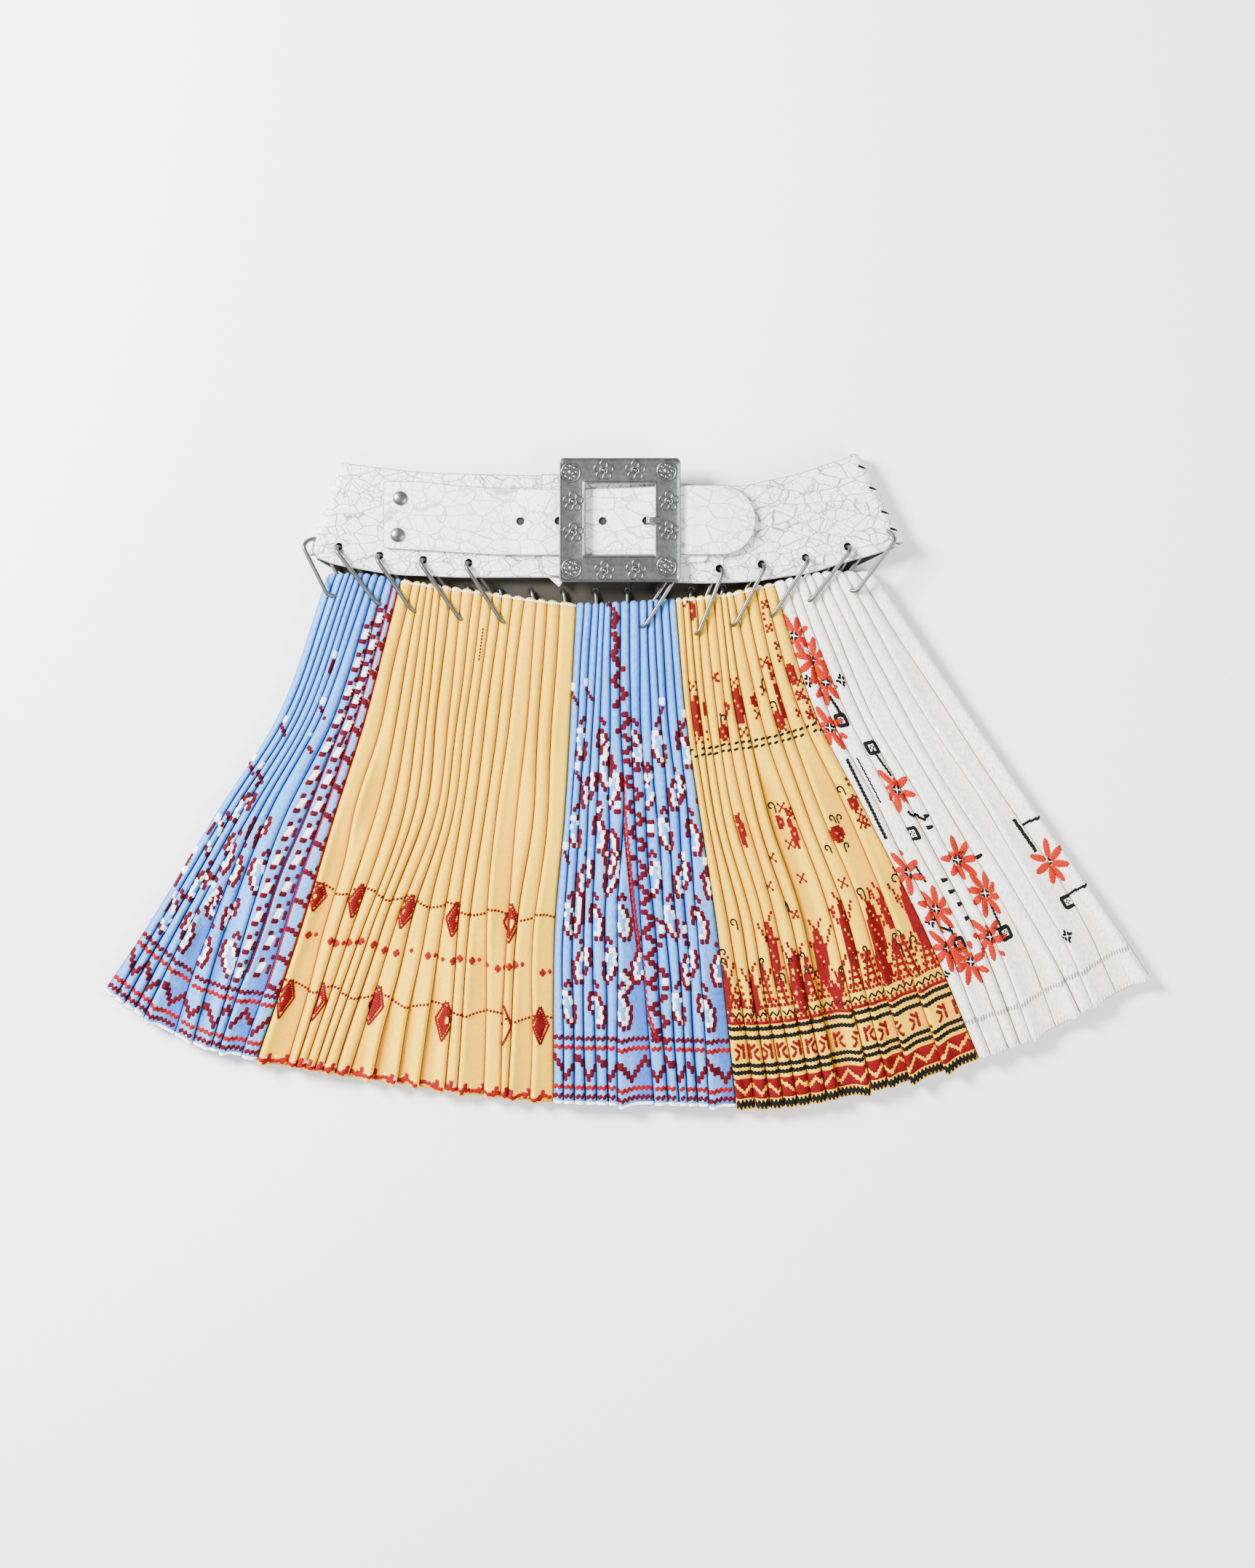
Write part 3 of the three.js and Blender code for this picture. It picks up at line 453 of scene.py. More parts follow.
class BackCloth(PleatedCloth):
    outside = -1.0

    def __init__(self, name, shares, seed):
        left, right = (mix(FRONT_SEAMS[0], FRONT_SEAMS[-1], share) for share in shares)
        super().__init__(name, [(1, 1, 1)] * BACK_PLEATS, left, right, back_waist, seed)

    def place(self, pleat, across, v):
        x, y, _ = self.shape(pleat, across, v)
        fall = np.clip(np.minimum(across, 1 - across) / 0.16, 0, 1)
        fold = 1 - np.sqrt(1 - (1 - fall) ** 2)
        return np.stack(np.broadcast_arrays(x, y, np.interp(v, *BACK_LEVEL) + BACK_ROLL * fold), axis=-1)


FRONTS = {
    name: FrontCloth(index, name, widths, 11 + index)
    for index, (name, widths) in enumerate(FRONT_PLEATS.items())
}
BACKS = {name: BackCloth(name, shares, 41 + i) for i, (name, shares) in enumerate(BACK_CLOTHS.items())}

# %% [markdown]
# ## Cutting the mesh
# Each pleat gets a dozen columns, closer together where it curves into the fold. Rows run down the fall. The
# cloth is a single layer with a Solidify modifier for its thickness, which keeps the mesh easy to read.

# %% Cloth meshes
FRONT_COLUMNS = np.array([0, 0.02, 0.06, 0.13, 0.23, 0.36, 0.5, 0.64, 0.77, 0.87, 0.94, 0.98])
FRONT_ROWS = np.concatenate([np.linspace(0, 0.03, 7)[:-1], np.linspace(0.03, 1, 66)])
BACK_COLUMNS = np.array([0, 0.05, 0.13, 0.2, 0.5, 0.8, 0.87, 0.95])
BACK_ROWS = np.concatenate([np.linspace(0, 0.3, 16)[:-1], np.linspace(0.3, 1, 18)])
THICKNESS = 0.9
FLAT_FACE = 2.2  # how much less a flat face counts as deep than the fold beside a roll


def cloth_colour(name):
    return name.split("_")[1]


def weave_cloth(cloth, columns, rows):
    pleat = np.append(np.repeat(np.arange(cloth.count), len(columns)), cloth.count - 1)
    across = np.append(np.tile(columns, cloth.count), 1.0)
    pleats, shares = pleat[:, None], across[:, None]
    v = np.broadcast_to(rows, (len(pleat), len(rows)))
    points = cloth.point(pleats, shares, v)
    faces = grid_faces(len(pleat), len(rows))
    if cloth.outside > 0:
        faces = faces[:, ::-1]
    piece = make_piece(cloth.name + "_cloth", points, faces, CLOTH_MATERIALS[cloth_colour(cloth.name)])
    roll = cloth.roll(np.broadcast_to(pleats, v.shape), np.broadcast_to(shares, v.shape), v)
    is_wide = np.clip((cloth.width(np.broadcast_to(pleats, v.shape), v) - WIDE_FROM) / WIDE_SPAN, 0, 1)
    # Painted shade: each point's depth in its fold, which the material turns into painted highlight on the
    # rolls and painted shade in the folds.
    depth = piece.data.attributes.new("fold_depth", "FLOAT", "POINT")
    depth.data.foreach_set("value", np.clip(1 - roll * mix(1.0, FLAT_FACE, is_wide), 0, 1).ravel())
    steps = np.linalg.norm(np.diff(points, axis=0), axis=-1)
    across_mm = np.concatenate([np.zeros((1, len(rows))), np.cumsum(steps, axis=0)])
    along_mm = cloth.length[pleat][:, None] * (1 - v)
    threads = np.stack([across_mm, along_mm], axis=-1).reshape(-1, 2)
    corners = np.empty(len(piece.data.loops), dtype=np.int32)
    piece.data.loops.foreach_get("vertex_index", corners)
    piece.data.uv_layers.new(name="thread").data.foreach_set("uv", threads[corners].ravel())
    wall = piece.modifiers.new("wall", "SOLIDIFY")
    wall.thickness = THICKNESS * MM
    wall.offset = -1.0  # it grows inward, so that the stitches lie on it
    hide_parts(cloth.name)
    area = sum(polygon.area for polygon in piece.data.polygons)
    print(f"{cloth.name}: {cloth.count} pleats, {area:.3f} square metres of cloth")
    return piece


CLOTH_PIECES = {name: weave_cloth(cloth, FRONT_COLUMNS, FRONT_ROWS) for name, cloth in FRONTS.items()}
CLOTH_PIECES.update({name: weave_cloth(cloth, BACK_COLUMNS, BACK_ROWS) for name, cloth in BACKS.items()})

# %% [markdown]
# ## Thread on the cloth
# The patterns are counted-thread work: short satin bars on the blue, cross-stitch on the yellow, slanted
# satin petals on the white. Painting them would leave them flat. Here every stitch is a small raised lozenge
# that follows the fold it lies on. Its place is given in millimetres of cloth, with the hidden folds counted
# too, so a pattern that is wider than a pleat disappears into the fold as it does on the skirt.

# %% The needle
STITCH_SHARES = {3: (-0.5, 0.0, 0.5), 5: (-0.5, -0.36, 0.0, 0.36, 0.5)}
STITCH_WIDTHS = {3: (0.7, 1.0, 0.7), 5: (0.5, 1.0, 1.0, 1.0, 0.5)}
STITCH_RISES = {3: (0.25, 1.0, 0.25), 5: (0.1, 0.9, 1.0, 0.9, 0.1)}
HIDDEN_FOLD = 2.5  # millimetres of each pleat that never show
FINE_STITCH = 1.25  # wider ones get five sections, the others three
FINE_HEIGHT, BOLD_HEIGHT = 0.42, 0.6
FINE_SPREAD, BOLD_SPREAD = 1.75, 1.4  # the threads lie flatter and wider than they are thick


def marks(across, up, angle, length, width):
    """Stitches as rows of place, direction in degrees from the hem's, length and width."""
    values = [np.asarray(value, float) for value in (across, up, angle, length, width)]
    return np.stack(np.broadcast_arrays(*values), axis=-1).reshape(-1, 5)


def turned(stitches, degrees):
    turn = math.radians(degrees)
    made = stitches.copy()
    made[:, 0] = stitches[:, 0] * math.cos(turn) - stitches[:, 1] * math.sin(turn)
    made[:, 1] = stitches[:, 0] * math.sin(turn) + stitches[:, 1] * math.cos(turn)
    made[:, 2] += degrees
    return made


class Needle:
    def __init__(self, cloth):
        self.cloth = cloth
        self.spans = cloth.narrow.max(axis=1) * THREAD_RISE + HIDDEN_FOLD
        self.starts = np.concatenate([[0.0], np.cumsum(self.spans)])
        self.sewn = {}

    def steps(self, pitch):
        return np.arange(pitch / 2, self.starts[-1], pitch)

    def at(self, x, y):
        """Across and up of the cloth's place at x, y."""
        middle_x = (self.cloth.x[1:] + self.cloth.x[:-1]) / 2
        middle_y = (self.cloth.y[1:] + self.cloth.y[:-1]) / 2
        away = np.hypot(middle_x - x, middle_y - y)
        pleat, k = np.unravel_index(away.argmin(), away.shape)
        left, right = self.cloth.x[pleat, k], self.cloth.x[pleat + 1, k]
        share = min(1.0, max(0.0, (x - left) / (right - left)))
        across = self.starts[pleat] + share * self.cloth.narrow[pleat, k] * THREAD_RISE
        return np.array([across, (1 - self.cloth.fall[k]) * self.cloth.length[pleat]])

    def down_pleat(self, pleat, share, ups):
        """Across, for each height, of a line down one pleat."""
        ups = np.asarray(ups, float)
        v = 1 - ups / self.cloth.length[pleat]
        return self.starts[pleat] + share * self.cloth.width(np.full(len(ups), pleat), v) * THREAD_RISE

    def sew(self, thread, stitches, where=(0, 0)):
        stitches = np.asarray(stitches, float).reshape(-1, 5).copy()
        stitches[:, :2] += where
        self.sewn.setdefault(thread, []).append(stitches)

    def lay(self, stitches, sections, height):
        cloth = self.cloth
        pleat = np.clip(np.searchsorted(self.starts, stitches[:, 0], side="right") - 1, 0, cloth.count - 1)
        v = 1 - stitches[:, 1] / cloth.length[pleat]
        share = (stitches[:, 0] - self.starts[pleat]) / (cloth.width(pleat, v) * THREAD_RISE)
        seen = (stitches[:, 0] > 0) & (share > 0.02) & (share < 0.98) & (v > 0.004) & (v < 1.0)
        stitches, pleat = stitches[seen], pleat[seen]
        along = stitches[:, 3, None, None] * np.array(STITCH_SHARES[sections])[:, None]
        side = stitches[:, 4, None, None] * np.array(STITCH_WIDTHS[sections])[:, None] * (-0.5, 0.0, 0.5)
        turn = np.radians(stitches[:, 2])[:, None, None]
        across = stitches[:, 0, None, None] + along * np.cos(turn) - side * np.sin(turn)
        up = stitches[:, 1, None, None] + along * np.sin(turn) + side * np.cos(turn)
        pleats = np.broadcast_to(pleat[:, None, None], across.shape)
        v = 1 - up / cloth.length[pleats]
        share = (across - self.starts[pleats]) / (cloth.width(pleats, v) * THREAD_RISE)
        rise = height * np.array(STITCH_RISES[sections])[:, None] * (0.0, 1.0, 0.0) + 0.1
        lift = np.broadcast_to(rise, across.shape)
        return cloth.point(pleats, np.clip(share, 0.015, 0.985), np.clip(v, 0, 0.999), lift)

    def finish(self):
        """One joined piece for each colour of thread."""
        pieces = []
        for thread, groups in self.sewn.items():
            stitches = np.concatenate(groups)
            parts, first = [], 0
            points, faces = [], []
            is_fine = stitches[:, 4] < FINE_STITCH
            stitches[:, 4] *= np.where(is_fine, FINE_SPREAD, BOLD_SPREAD)
            for sections, group in ((3, stitches[is_fine]), (5, stitches[~is_fine])):
                laid = self.lay(group, sections, FINE_HEIGHT if sections == 3 else BOLD_HEIGHT)
                count = len(laid)
                corner = np.arange(count)[:, None, None] * sections * 3
                k, s = np.meshgrid(np.arange(sections - 1), np.arange(2), indexing="ij")
                corner = (corner + k * 3 + s).ravel() + first
                quads = np.stack([corner, corner + 3, corner + 4, corner + 1], axis=1)
                faces.append(quads if self.cloth.outside > 0 else quads[:, ::-1])
                points.append(laid.reshape(-1, 3))
                first += count * sections * 3
            name = f"{self.cloth.name}_{thread}"
            pieces.append(make_piece(name, np.vstack(points), np.vstack(faces), THREADS[thread]))
            print(f"{name}: {first} points, {2 * len(np.vstack(faces))} triangles")
        return pieces


# %% Thread materials


def thread_material(name, colour, shade):
    recipe = Recipe(name, roughness=0.8, specular=0.12)
    strands = recipe.noise(1400.0, 2.0)
    mixed = recipe.blend(recipe.soft_step(strands, 0.3, 0.7), shade, colour)
    recipe.feed(recipe.shader.inputs["Base Color"], mixed)
    recipe.bump(strands, 0.12, 0.7)
    return recipe.material


THREADS = {
    "dark_red": thread_material("dark_red_thread", rgb(92, 2, 20), rgb(52, 1, 12)),
    "bright_red": thread_material("bright_red_thread", rgb(142, 2, 12), rgb(110, 1, 8)),
    "white": thread_material("white_thread", rgb(253, 253, 253), rgb(232, 232, 234)),
    "cherry": thread_material("cherry_thread", rgb(116, 1, 8), rgb(84, 1, 5)),
    "black": thread_material("black_thread", rgb(12, 14, 13), rgb(6, 7, 6)),
    "orange": thread_material("orange_red_thread", rgb(178, 30, 1), rgb(142, 18, 1)),
    "grey": thread_material("pulled_thread", rgb(150, 146, 140), rgb(120, 116, 112)),
}
print("threads:", ", ".join(THREADS))

# %% [markdown]
# ## The blue cloth's border and leaves
# Along the hem of the blue cotton run two slanted rows, a stepped zigzag and two more rows. Above them grow
# stepped leaves with a red edge and a white filling. Each is worked out from its width and height, so that
# one short function makes them all. A second function spreads them in rows, half a step aside by turns.

# %% Blue border and shapes
STEP = 2.1


def path_points(corners, pitch):
    xs, ys = np.array(corners, float).T
    run = np.concatenate([[0], np.cumsum(np.hypot(np.diff(xs), np.diff(ys)))])
    here = np.arange(0, run[-1] + 0.01, pitch)
    return np.stack([np.interp(here, run, xs), np.interp(here, run, ys)], axis=1)


def trail(needle, thread, corners, pitch, angle, length, width):
    """Single stitches along a line from place to place."""
    for x, y in path_points(corners, pitch):
        needle.sew(thread, marks(0, 0, angle, length, width), needle.at(x, y))


ROWS_UNDER = [  # thread, pitch, height above the hem, slant, length, width
    ("white", 2.0, 1.2, 80, 2.6, 1.9), ("dark_red", 4.1, 5.8, 38, 4.6, 2.0),
    ("bright_red", 4.1, 12.0, 32, 4.8, 2.0),
]
ROWS_OVER = [("bright_red", 4.1, 39.0, 32, 4.8, 2.0), ("dark_red", 4.1, 45.4, 38, 4.6, 2.0)]
ZIGZAG_PITCH, ZIGZAG_PERIOD, ZIGZAG_LOW, ZIGZAG_STEP = 2.9, 26, 18.6, 3.3


def sew_rows(needle, rows):
    for thread, pitch, up, slant, length, width in rows:
        needle.sew(thread, marks(needle.steps(pitch), up, slant, length, width))


def blue_border(needle):
    sew_rows(needle, ROWS_UNDER)
    steps = needle.steps(ZIGZAG_PITCH)
    wave = np.abs((steps / ZIGZAG_PERIOD % 1) * 2 - 1)
    needle.sew("dark_red", marks(steps, ZIGZAG_LOW + np.round(wave * 4) * ZIGZAG_STEP, 88, 5.8, 2.5))
    sew_rows(needle, ROWS_OVER)


def leaf(needle, place, width, height, lean=0.0):
    ups = np.arange(-height / 2, height / 2 + 0.1, 3.1)
    half = width / 2 * np.cos(math.pi * ups / height * 0.94) ** 0.75
    half = np.round(half / STEP) * STEP
    middle = lean * ups
    wide = half > STEP
    for side in (-1, 1):
        filling = middle + side * (half - 2.9)
        needle.sew("dark_red", marks(middle + side * half, ups, 90, 4.4, 2.5), place)
        needle.sew("white", marks(filling[wide], ups[wide], 90, 3.7, 2.2), place)


def tick(needle, x, y, lean):
    """A short leaning line with a white top."""
    trail(needle, "dark_red", [(x, y), (x + lean * 5, y - 8)], 2.5, 80, 3.0, 1.9)
    needle.sew("white", marks((0, 0), (3.6, 5.8), 0, 4.8, 2.3), needle.at(x, y))


def arrowhead(needle, x, y):
    for rise in (9, 6, 3, 0, -3, -6, -9):
        reach = 7.0 - abs(rise) * 0.75
        needle.sew("dark_red", marks(0, 0, 0, 4.0, 2.6), needle.at(x + reach, y + rise))
        needle.sew("white", marks(0, 0, 0, 4.4, 2.4), needle.at(x + reach - 4.2, y + rise))
    for rise in (-11.5, 11.5):
        needle.sew("dark_red", marks(0, 0, 0, 5.4, 2.8), needle.at(x - 4, y + rise))


def crossbar(needle, x, y):
    for rise in (4.4, -4.4):
        needle.sew("dark_red", marks(0, 0, 0, 6.4, 2.7), needle.at(x, y + rise))
    for rise in (1.2, -1.2):
        needle.sew("white", marks(0, 0, 0, 5.6, 2.4), needle.at(x, y + rise))


def ladder(needle, pleat, first, last, pitch):
    """Down one pleat: a red bar, white satin below it, another bar, and red steps at the side."""
    ups = np.arange(first, last, pitch)
    middle = needle.down_pleat(pleat, 0.45, ups)
    needle.sew("dark_red", marks(middle, ups, 0, 6.0, 2.9))
    for rise in (2.9, 5.2, 7.5):
        needle.sew("white", marks(middle + 0.25 * rise, ups + rise, 0, 5.4, 2.3))
    needle.sew("dark_red", marks(middle - 0.4, ups + 10.6, 0, 4.4, 2.6))
    right = needle.down_pleat(pleat, 0.82, ups)
    for rise in (3.0, 6.5, 13.5):
        needle.sew("dark_red", marks(right, ups + rise, 90, 3.6, 2.2))


def chain_line(needle, pleat, share, first, last, thread="bright_red"):
    ups = np.arange(first, last, 2.3)
    needle.sew(thread, marks(needle.down_pleat(pleat, share, ups), ups, 78, 2.7, 1.1))


def rungs(needle, pleat, first, last, pitch):
    ups = np.arange(first, last, pitch)
    for share, rise in ((0.2, 0.0), (0.5, -0.6), (0.78, -2.8)):
        needle.sew("dark_red", marks(needle.down_pleat(pleat, share, ups), ups + rise, 0, 4.2, 2.9))
    needle.sew("dark_red", marks(needle.down_pleat(pleat, 0.85, ups), ups + 3.6, 70, 4.2, 2.4))


# %% Blue left
BLUE_LEFT_TICKS = [  # X, Y, lean
    (-262, 14, 0.6), (-256, 8, 0.6), (-286, -28, -1.1), (-302, -50, -0.9), (-309, -63, -0.9),
    (-315, -80, -1),
    (-188, 62, 0.6), (-196, 34, -0.6), (-213, 52, 0.6), (-222, 28, 0.6), (-204, 84, -0.6), (-240, 40, 0.5),
]
LEAF_GAP = 30.0  # from row to row up the cloth
LEAF_WIDTH, LEAF_HEIGHT, LEAF_LEAN = 15, 24, 0.35
LEAF_TIP = marks((-2.4, 0.0, 2.4), (15.5, 18.0, 15.5), 80, 3.8, 2.4)
FIRST_LEAVES = 66.0  # height of the lowest row above the hem
LADDERS = [(8, 58, 330, 19.5), (7, 52, 300, 20.5)]  # pleat, from and to height, pitch
RUNGS = (9, 52, 335, 20.5)
CHAINS = [(0.07, 50, 338), (0.93, 50, 338)]  # share across the last pleat, from and to height


def leaf_spread(needle, low, high, is_free):
    """Pointed leaves in a half-drop spread, each row leaning against the one below it."""
    for row, up in enumerate(np.arange(low, high, LEAF_GAP)):
        lean = (-LEAF_LEAN, LEAF_LEAN)[row % 2]
        for across in needle.steps(LEAF_GAP * 1.1) + LEAF_GAP * 0.55 * (row % 2):
            if is_free(across, up):
                leaf(needle, (across, up), LEAF_WIDTH, LEAF_HEIGHT, lean)
                needle.sew("dark_red", LEAF_TIP, (across, up))


def embroider_blue_left(needle):
    blue_border(needle)
    ladder_edge = needle.starts[7] - 6.0
    leaf_spread(needle, FIRST_LEAVES, 185.0, lambda across, up: 10.0 < across < ladder_edge)
    for x, y, lean in BLUE_LEFT_TICKS:
        tick(needle, x, y, lean)
    arrowhead(needle, -287, -74)
    for share, first, last in CHAINS:
        chain_line(needle, 9, share, first, last)
    rungs(needle, *RUNGS)
    for row in LADDERS:
        ladder(needle, *row)
    chain_line(needle, 8, 0.05, 60, 330, "dark_red")


# %% Blue centre
BLUE_CENTRE_TICKS = [
    (-40, 61, 0.9), (-30, 64, 0.9), (-37, 7, 0.8), (22, 51, -0.6), (38, 43, -0.9), (38, -7, -0.9),
    (36, -55, -0.7),
    (52, -58, -0.9), (-45, -48, 0.6),
]
BLUE_CENTRE_LEAVES = [  # X, Y, width, height
    (-15, 13, 17, 34), (-14, -48, 15, 32), (-38, -88, 14, 32),
]
ZIGZAG_COLUMN = [(-10, 122), (-7, 60), (-1, 10), (3, -25), (8, -74), (14, -110), (18, -150), (21, -178)]
COLUMN_MARGIN = 17
CHAIN_COLUMN = [(-6, 5), (-2, -40), (2, -81), (5, -104), (11, -155), (19, -177)]
CROSSBARS = [
    (11, 4), (14, -31), (22, -100), (24, -136), (38, -100), (40, -136), (-53, -122), (-9, -15), (-22, -18),
]


def embroider_blue_centre(needle):
    blue_border(needle)
    column = [needle.at(x, y) for x, y in path_points(ZIGZAG_COLUMN, 8.0)]

    def is_beside_column(across, up):
        return all(math.dist(place, (across, up)) > COLUMN_MARGIN for place in column)

    leaf_spread(needle, FIRST_LEAVES, 250.0, is_beside_column)
    for k, (x, y) in enumerate(path_points(ZIGZAG_COLUMN, 2.9)):
        sway = (0, 3.2, 6.4, 9.6, 6.4, 3.2)[k % 6] * min(1.0, 0.35 + k / 50)
        needle.sew("dark_red", marks(0, 0, 0, 6.2, 3.0), needle.at(x - 4 + sway, y))
    for k, (x, y) in enumerate(path_points(CHAIN_COLUMN, 2.3)):
        needle.sew("bright_red", marks(0.5 * (k % 2), 0, 75, 2.9, 1.5), needle.at(x, y))
        needle.sew("dark_red", marks(-1.9, 0, 90, 2.6, 1.3), needle.at(x, y))
    for x, y, lean in BLUE_CENTRE_TICKS:
        tick(needle, x, y, lean)
    for x, y, width, height in BLUE_CENTRE_LEAVES:
        leaf(needle, needle.at(x, y), width, height)
    for x, y in CROSSBARS:
        crossbar(needle, x, y)
    arrowhead(needle, -4, -137)


# %% [markdown]
# ## The yellow cloth's dotted lines and cross-stitch
# The left yellow panel has two dotted lines with stepped diamonds and a row of small crosses between them.
# The right one has a deep border: a black net on the edge, red teeth, black chains, small figures and then
# tall flowers filled with cross-stitch, whose tops end in black curls. The flowers are filled by a rule that
# leaves out a few crosses, so the cloth shows through as dots.

# %% Yellow left
YELLOW_DIAMONDS = [  # X, Y, width, height
    (-215, -77, 12, 20), (-188, -81, 12, 22), (-154, -88, 12, 22), (-121, -93, 12, 22), (-83, -96, 14, 26),
    (-237, -146, 12, 26), (-215, -149, 12, 26), (-176, -152, 13, 26), (-128, -162, 13, 26),
    (-88, -166, 13, 26),
    (-62, -166, 12, 24),
]


def diamond(needle, place, width, height):
    ups = np.arange(-height / 2, height / 2 + 0.1, 1.7)
    half = width / 2 * (1 - np.abs(ups) / (height / 2 + 1.2))
    for side in (-1, 1):
        needle.sew("cherry", marks(side * half, ups, 60 * side, 2.5, 1.2), place)
    inner = np.abs(ups) < height / 2 - 3.2
    reach = 2 * (half[inner] - 1.9)
    is_wide = reach > 1.2
    needle.sew("cherry", marks(0, ups[inner][is_wide], 8, reach[is_wide] + 0.8, 2.0), place)


def embroider_yellow_left(needle):
    dots = needle.steps(2.9)
    for up in (125, 56):
        sag = 3.0 * np.cos(dots * TURN / 64)
        needle.sew("cherry", marks(dots, up + sag, 20, 2.1, 1.3))
    plus = needle.steps(15.0)
    for angle in (0, 90):
        needle.sew("bright_red", marks(plus, 90 + 2 * np.sin(plus / 11), angle, 5.6, 2.1))
        needle.sew("bright_red", marks(plus + 6.0, 91 + 2 * np.sin(plus / 11), angle, 3.4, 1.5))
    for x, y, width, height in YELLOW_DIAMONDS:
        diamond(needle, needle.at(x, y), width * 1.2, height)
    run = needle.steps(3.6)
    needle.sew("bright_red", marks(run, 3.0 + 0.9 * np.sin(run / 3), 6, 4.4, 1.9))
    blocks = needle.steps(15.0)
    for lean in (-1, 1):
        needle.sew("bright_red", marks(blocks + 1.2 * lean, 4.4 + 1.4 * lean, 90, 4.6, 2.6))
    needle.sew("white", marks(needle.steps(8.6) + 2.0, 5.2, 80, 1.8, 0.9))
    ups = np.arange(296, 318, 2.3)
    needle.sew("cherry", marks(needle.down_pleat(9, 0.5, ups), ups, 70, 1.7, 0.9))


# %% Yellow right: fillings
CROSS_PITCH = 1.9
BLOSSOM_TIPS = 2.6


def crosses(across, up, size=2.7, width=0.95):
    pair = [marks(across, up, angle, size, width) for angle in (45, -45)]
    return np.concatenate(pair)


def bud(needle, place, width, height, netted):
    """An oval of crosses with a pointed top; some are left out inside as a net."""
    across = np.arange(-width / 2, width / 2 + 0.01, CROSS_PITCH)
    ups = np.arange(-height / 2, height / 2 + 0.01, CROSS_PITCH)
    a, u = (grid.ravel() for grid in np.meshgrid(across, ups))
    reach = width / 2 * np.sqrt(np.clip(1 - (2 * u / (height + 1)) ** 2, 0, 1))
    reach = reach * np.where(u > height * 0.25, 0.8, 1)
    inside = np.abs(a) <= reach
    core = np.abs(a) < reach * 0.55
    order = (np.round(a / CROSS_PITCH) * 3 + np.round(u / CROSS_PITCH) * 5) % 7
    kept = inside & ~(core & (order < 7 * netted))
    needle.sew("cherry", crosses(a[kept], u[kept]), place)


def blossom(needle, place):
    tips = np.array([(-1, -1), (-1, 1), (1, -1), (1, 1), (0, 0)]) * BLOSSOM_TIPS
    needle.sew("cherry", crosses(tips[:, 0], tips[:, 1], 2.2, 0.9), place)
    needle.sew("cherry", marks((0, 0), (0, 0), (45, -45), BLOSSOM_TIPS * 2.6, 0.8), place)


def curl(needle, place, size, side):
    turn = np.linspace(0, 1.55 * math.pi, 11)
    radius = size * (1 - 0.55 * np.linspace(0, 1, 11))
    across, up = side * (size - radius * np.cos(turn)), radius * np.sin(turn)
    across, up = np.append([0.0, 0.0], across), np.append([-size * 1.6, -size * 0.8], up)
    step_a, step_u = np.diff(across), np.diff(up)
    angles = np.degrees(np.arctan2(step_u, step_a))
    middle = (across[1:] + across[:-1]) / 2, (up[1:] + up[:-1]) / 2
    needle.sew("black", marks(*middle, angles, np.hypot(step_a, step_u) * 1.35, 0.85), place)


def chain_row(needle, up):
    links = needle.steps(3.0)
    for offset, rise, angle in ((0, 0.85, 8), (0, -0.85, -8), (1.15, 0, 80), (-1.15, 0, -80)):
        needle.sew("black", marks(links + offset, up + rise, angle, 2.2, 1.0))


def net_row(needle, up, height, pitch, thread):
    links = needle.steps(pitch)
    slope = math.degrees(math.atan2(height, pitch / 2))
    long = math.hypot(height, pitch / 2)
    needle.sew(thread, marks(links, up, slope, long, 0.9))
    needle.sew(thread, marks(links + pitch / 2, up, -slope, long, 0.9))


# %% Yellow right: border and flowers
TALL_BUDS = [  # X, Y, width, height
    (62, -140, 10, 26), (84, -146, 11, 30), (97, -116, 13, 40), (115, -128, 8, 26), (131, -118, 12, 36),
    (150, -103, 12, 46), (169, -101, 13, 40), (176, -86, 9, 26), (198, -84, 17, 48), (217, -86, 15, 40),
    (176, -128, 11, 16), (57, -156, 9, 18), (118, -150, 9, 14), (142, -146, 9, 16),
]
RED_BUDS = [
    (46, 46, 9, 27), (52, 51, 7, 8), (64, 35, 9, 10), (74, 53, 8, 27), (86, 58, 11, 9), (102, 43, 9, 12),
    (103, 57, 7, 27), (110, 75, 9, 15), (122, 47, 4, 5), (142, -35, 12, 11), (103, -27, 7, 8),
    (153, -14, 9, 9),
    (42, 118, 7, 12), (76, -33, 6, 22), (112, -34, 6, 20), (66, 51, 4, 8),
]
RED_BLOSSOMS = [
    (58, 72), (43, 66), (71, 69), (88, 48), (98, 76), (117, 61), (92, 83), (47, 30), (78, 35), (159, -27),
    (110, -42), (39, 124), (97, -52), (73, -24), (104, -16), (110, -21), (104, 38), (60, 44), (55, 33),
    (92, 64),
    (116, 70), (130, 52), (158, -22),
]
CURLS = [  # X, Y, size, side
    (62, 44, 2.6, 1), (60, 44, 2.6, -1), (90, 69, 3.4, 1), (84, 68, 3.4, -1), (100, 54, 3.0, -1),
    (99, -16, 3.0, -1), (142, -24, 2.4, 1), (140, -24, 2.4, -1), (147, -44, 2.4, 1), (137, -44, 2.4, -1),
    (146, -4, 2.8, -1), (73, -96, 3.0, -1), (108, -84, 3.2, -1), (135, -85, 3.4, -1), (160, -74, 3.2, -1),
    (190, -62, 3.8, -1), (196, -61, 3.8, 1), (66, -122, 2.6, -1), (106, -132, 3.0, -1), (128, -128, 3.0, -1),
    (186, -112, 3.4, -1), (192, -108, 3.4, 1), (52, -118, 2.6, 1),
]
DASHED_LINE = [(41, 20), (72, 25), (97, 29), (134, 40)]
SPRIGS = [
    (92, 122), (90, 114), (95, 106), (101, 94), (103, 86), (96, 81), (98, 74), (116, 60), (122, 57),
    (123, 47),
    (116, 49), (128, 44), (57, 72), (113, -90), (138, -87), (152, 3), (155, -10), (162, -28), (109, -18),
]


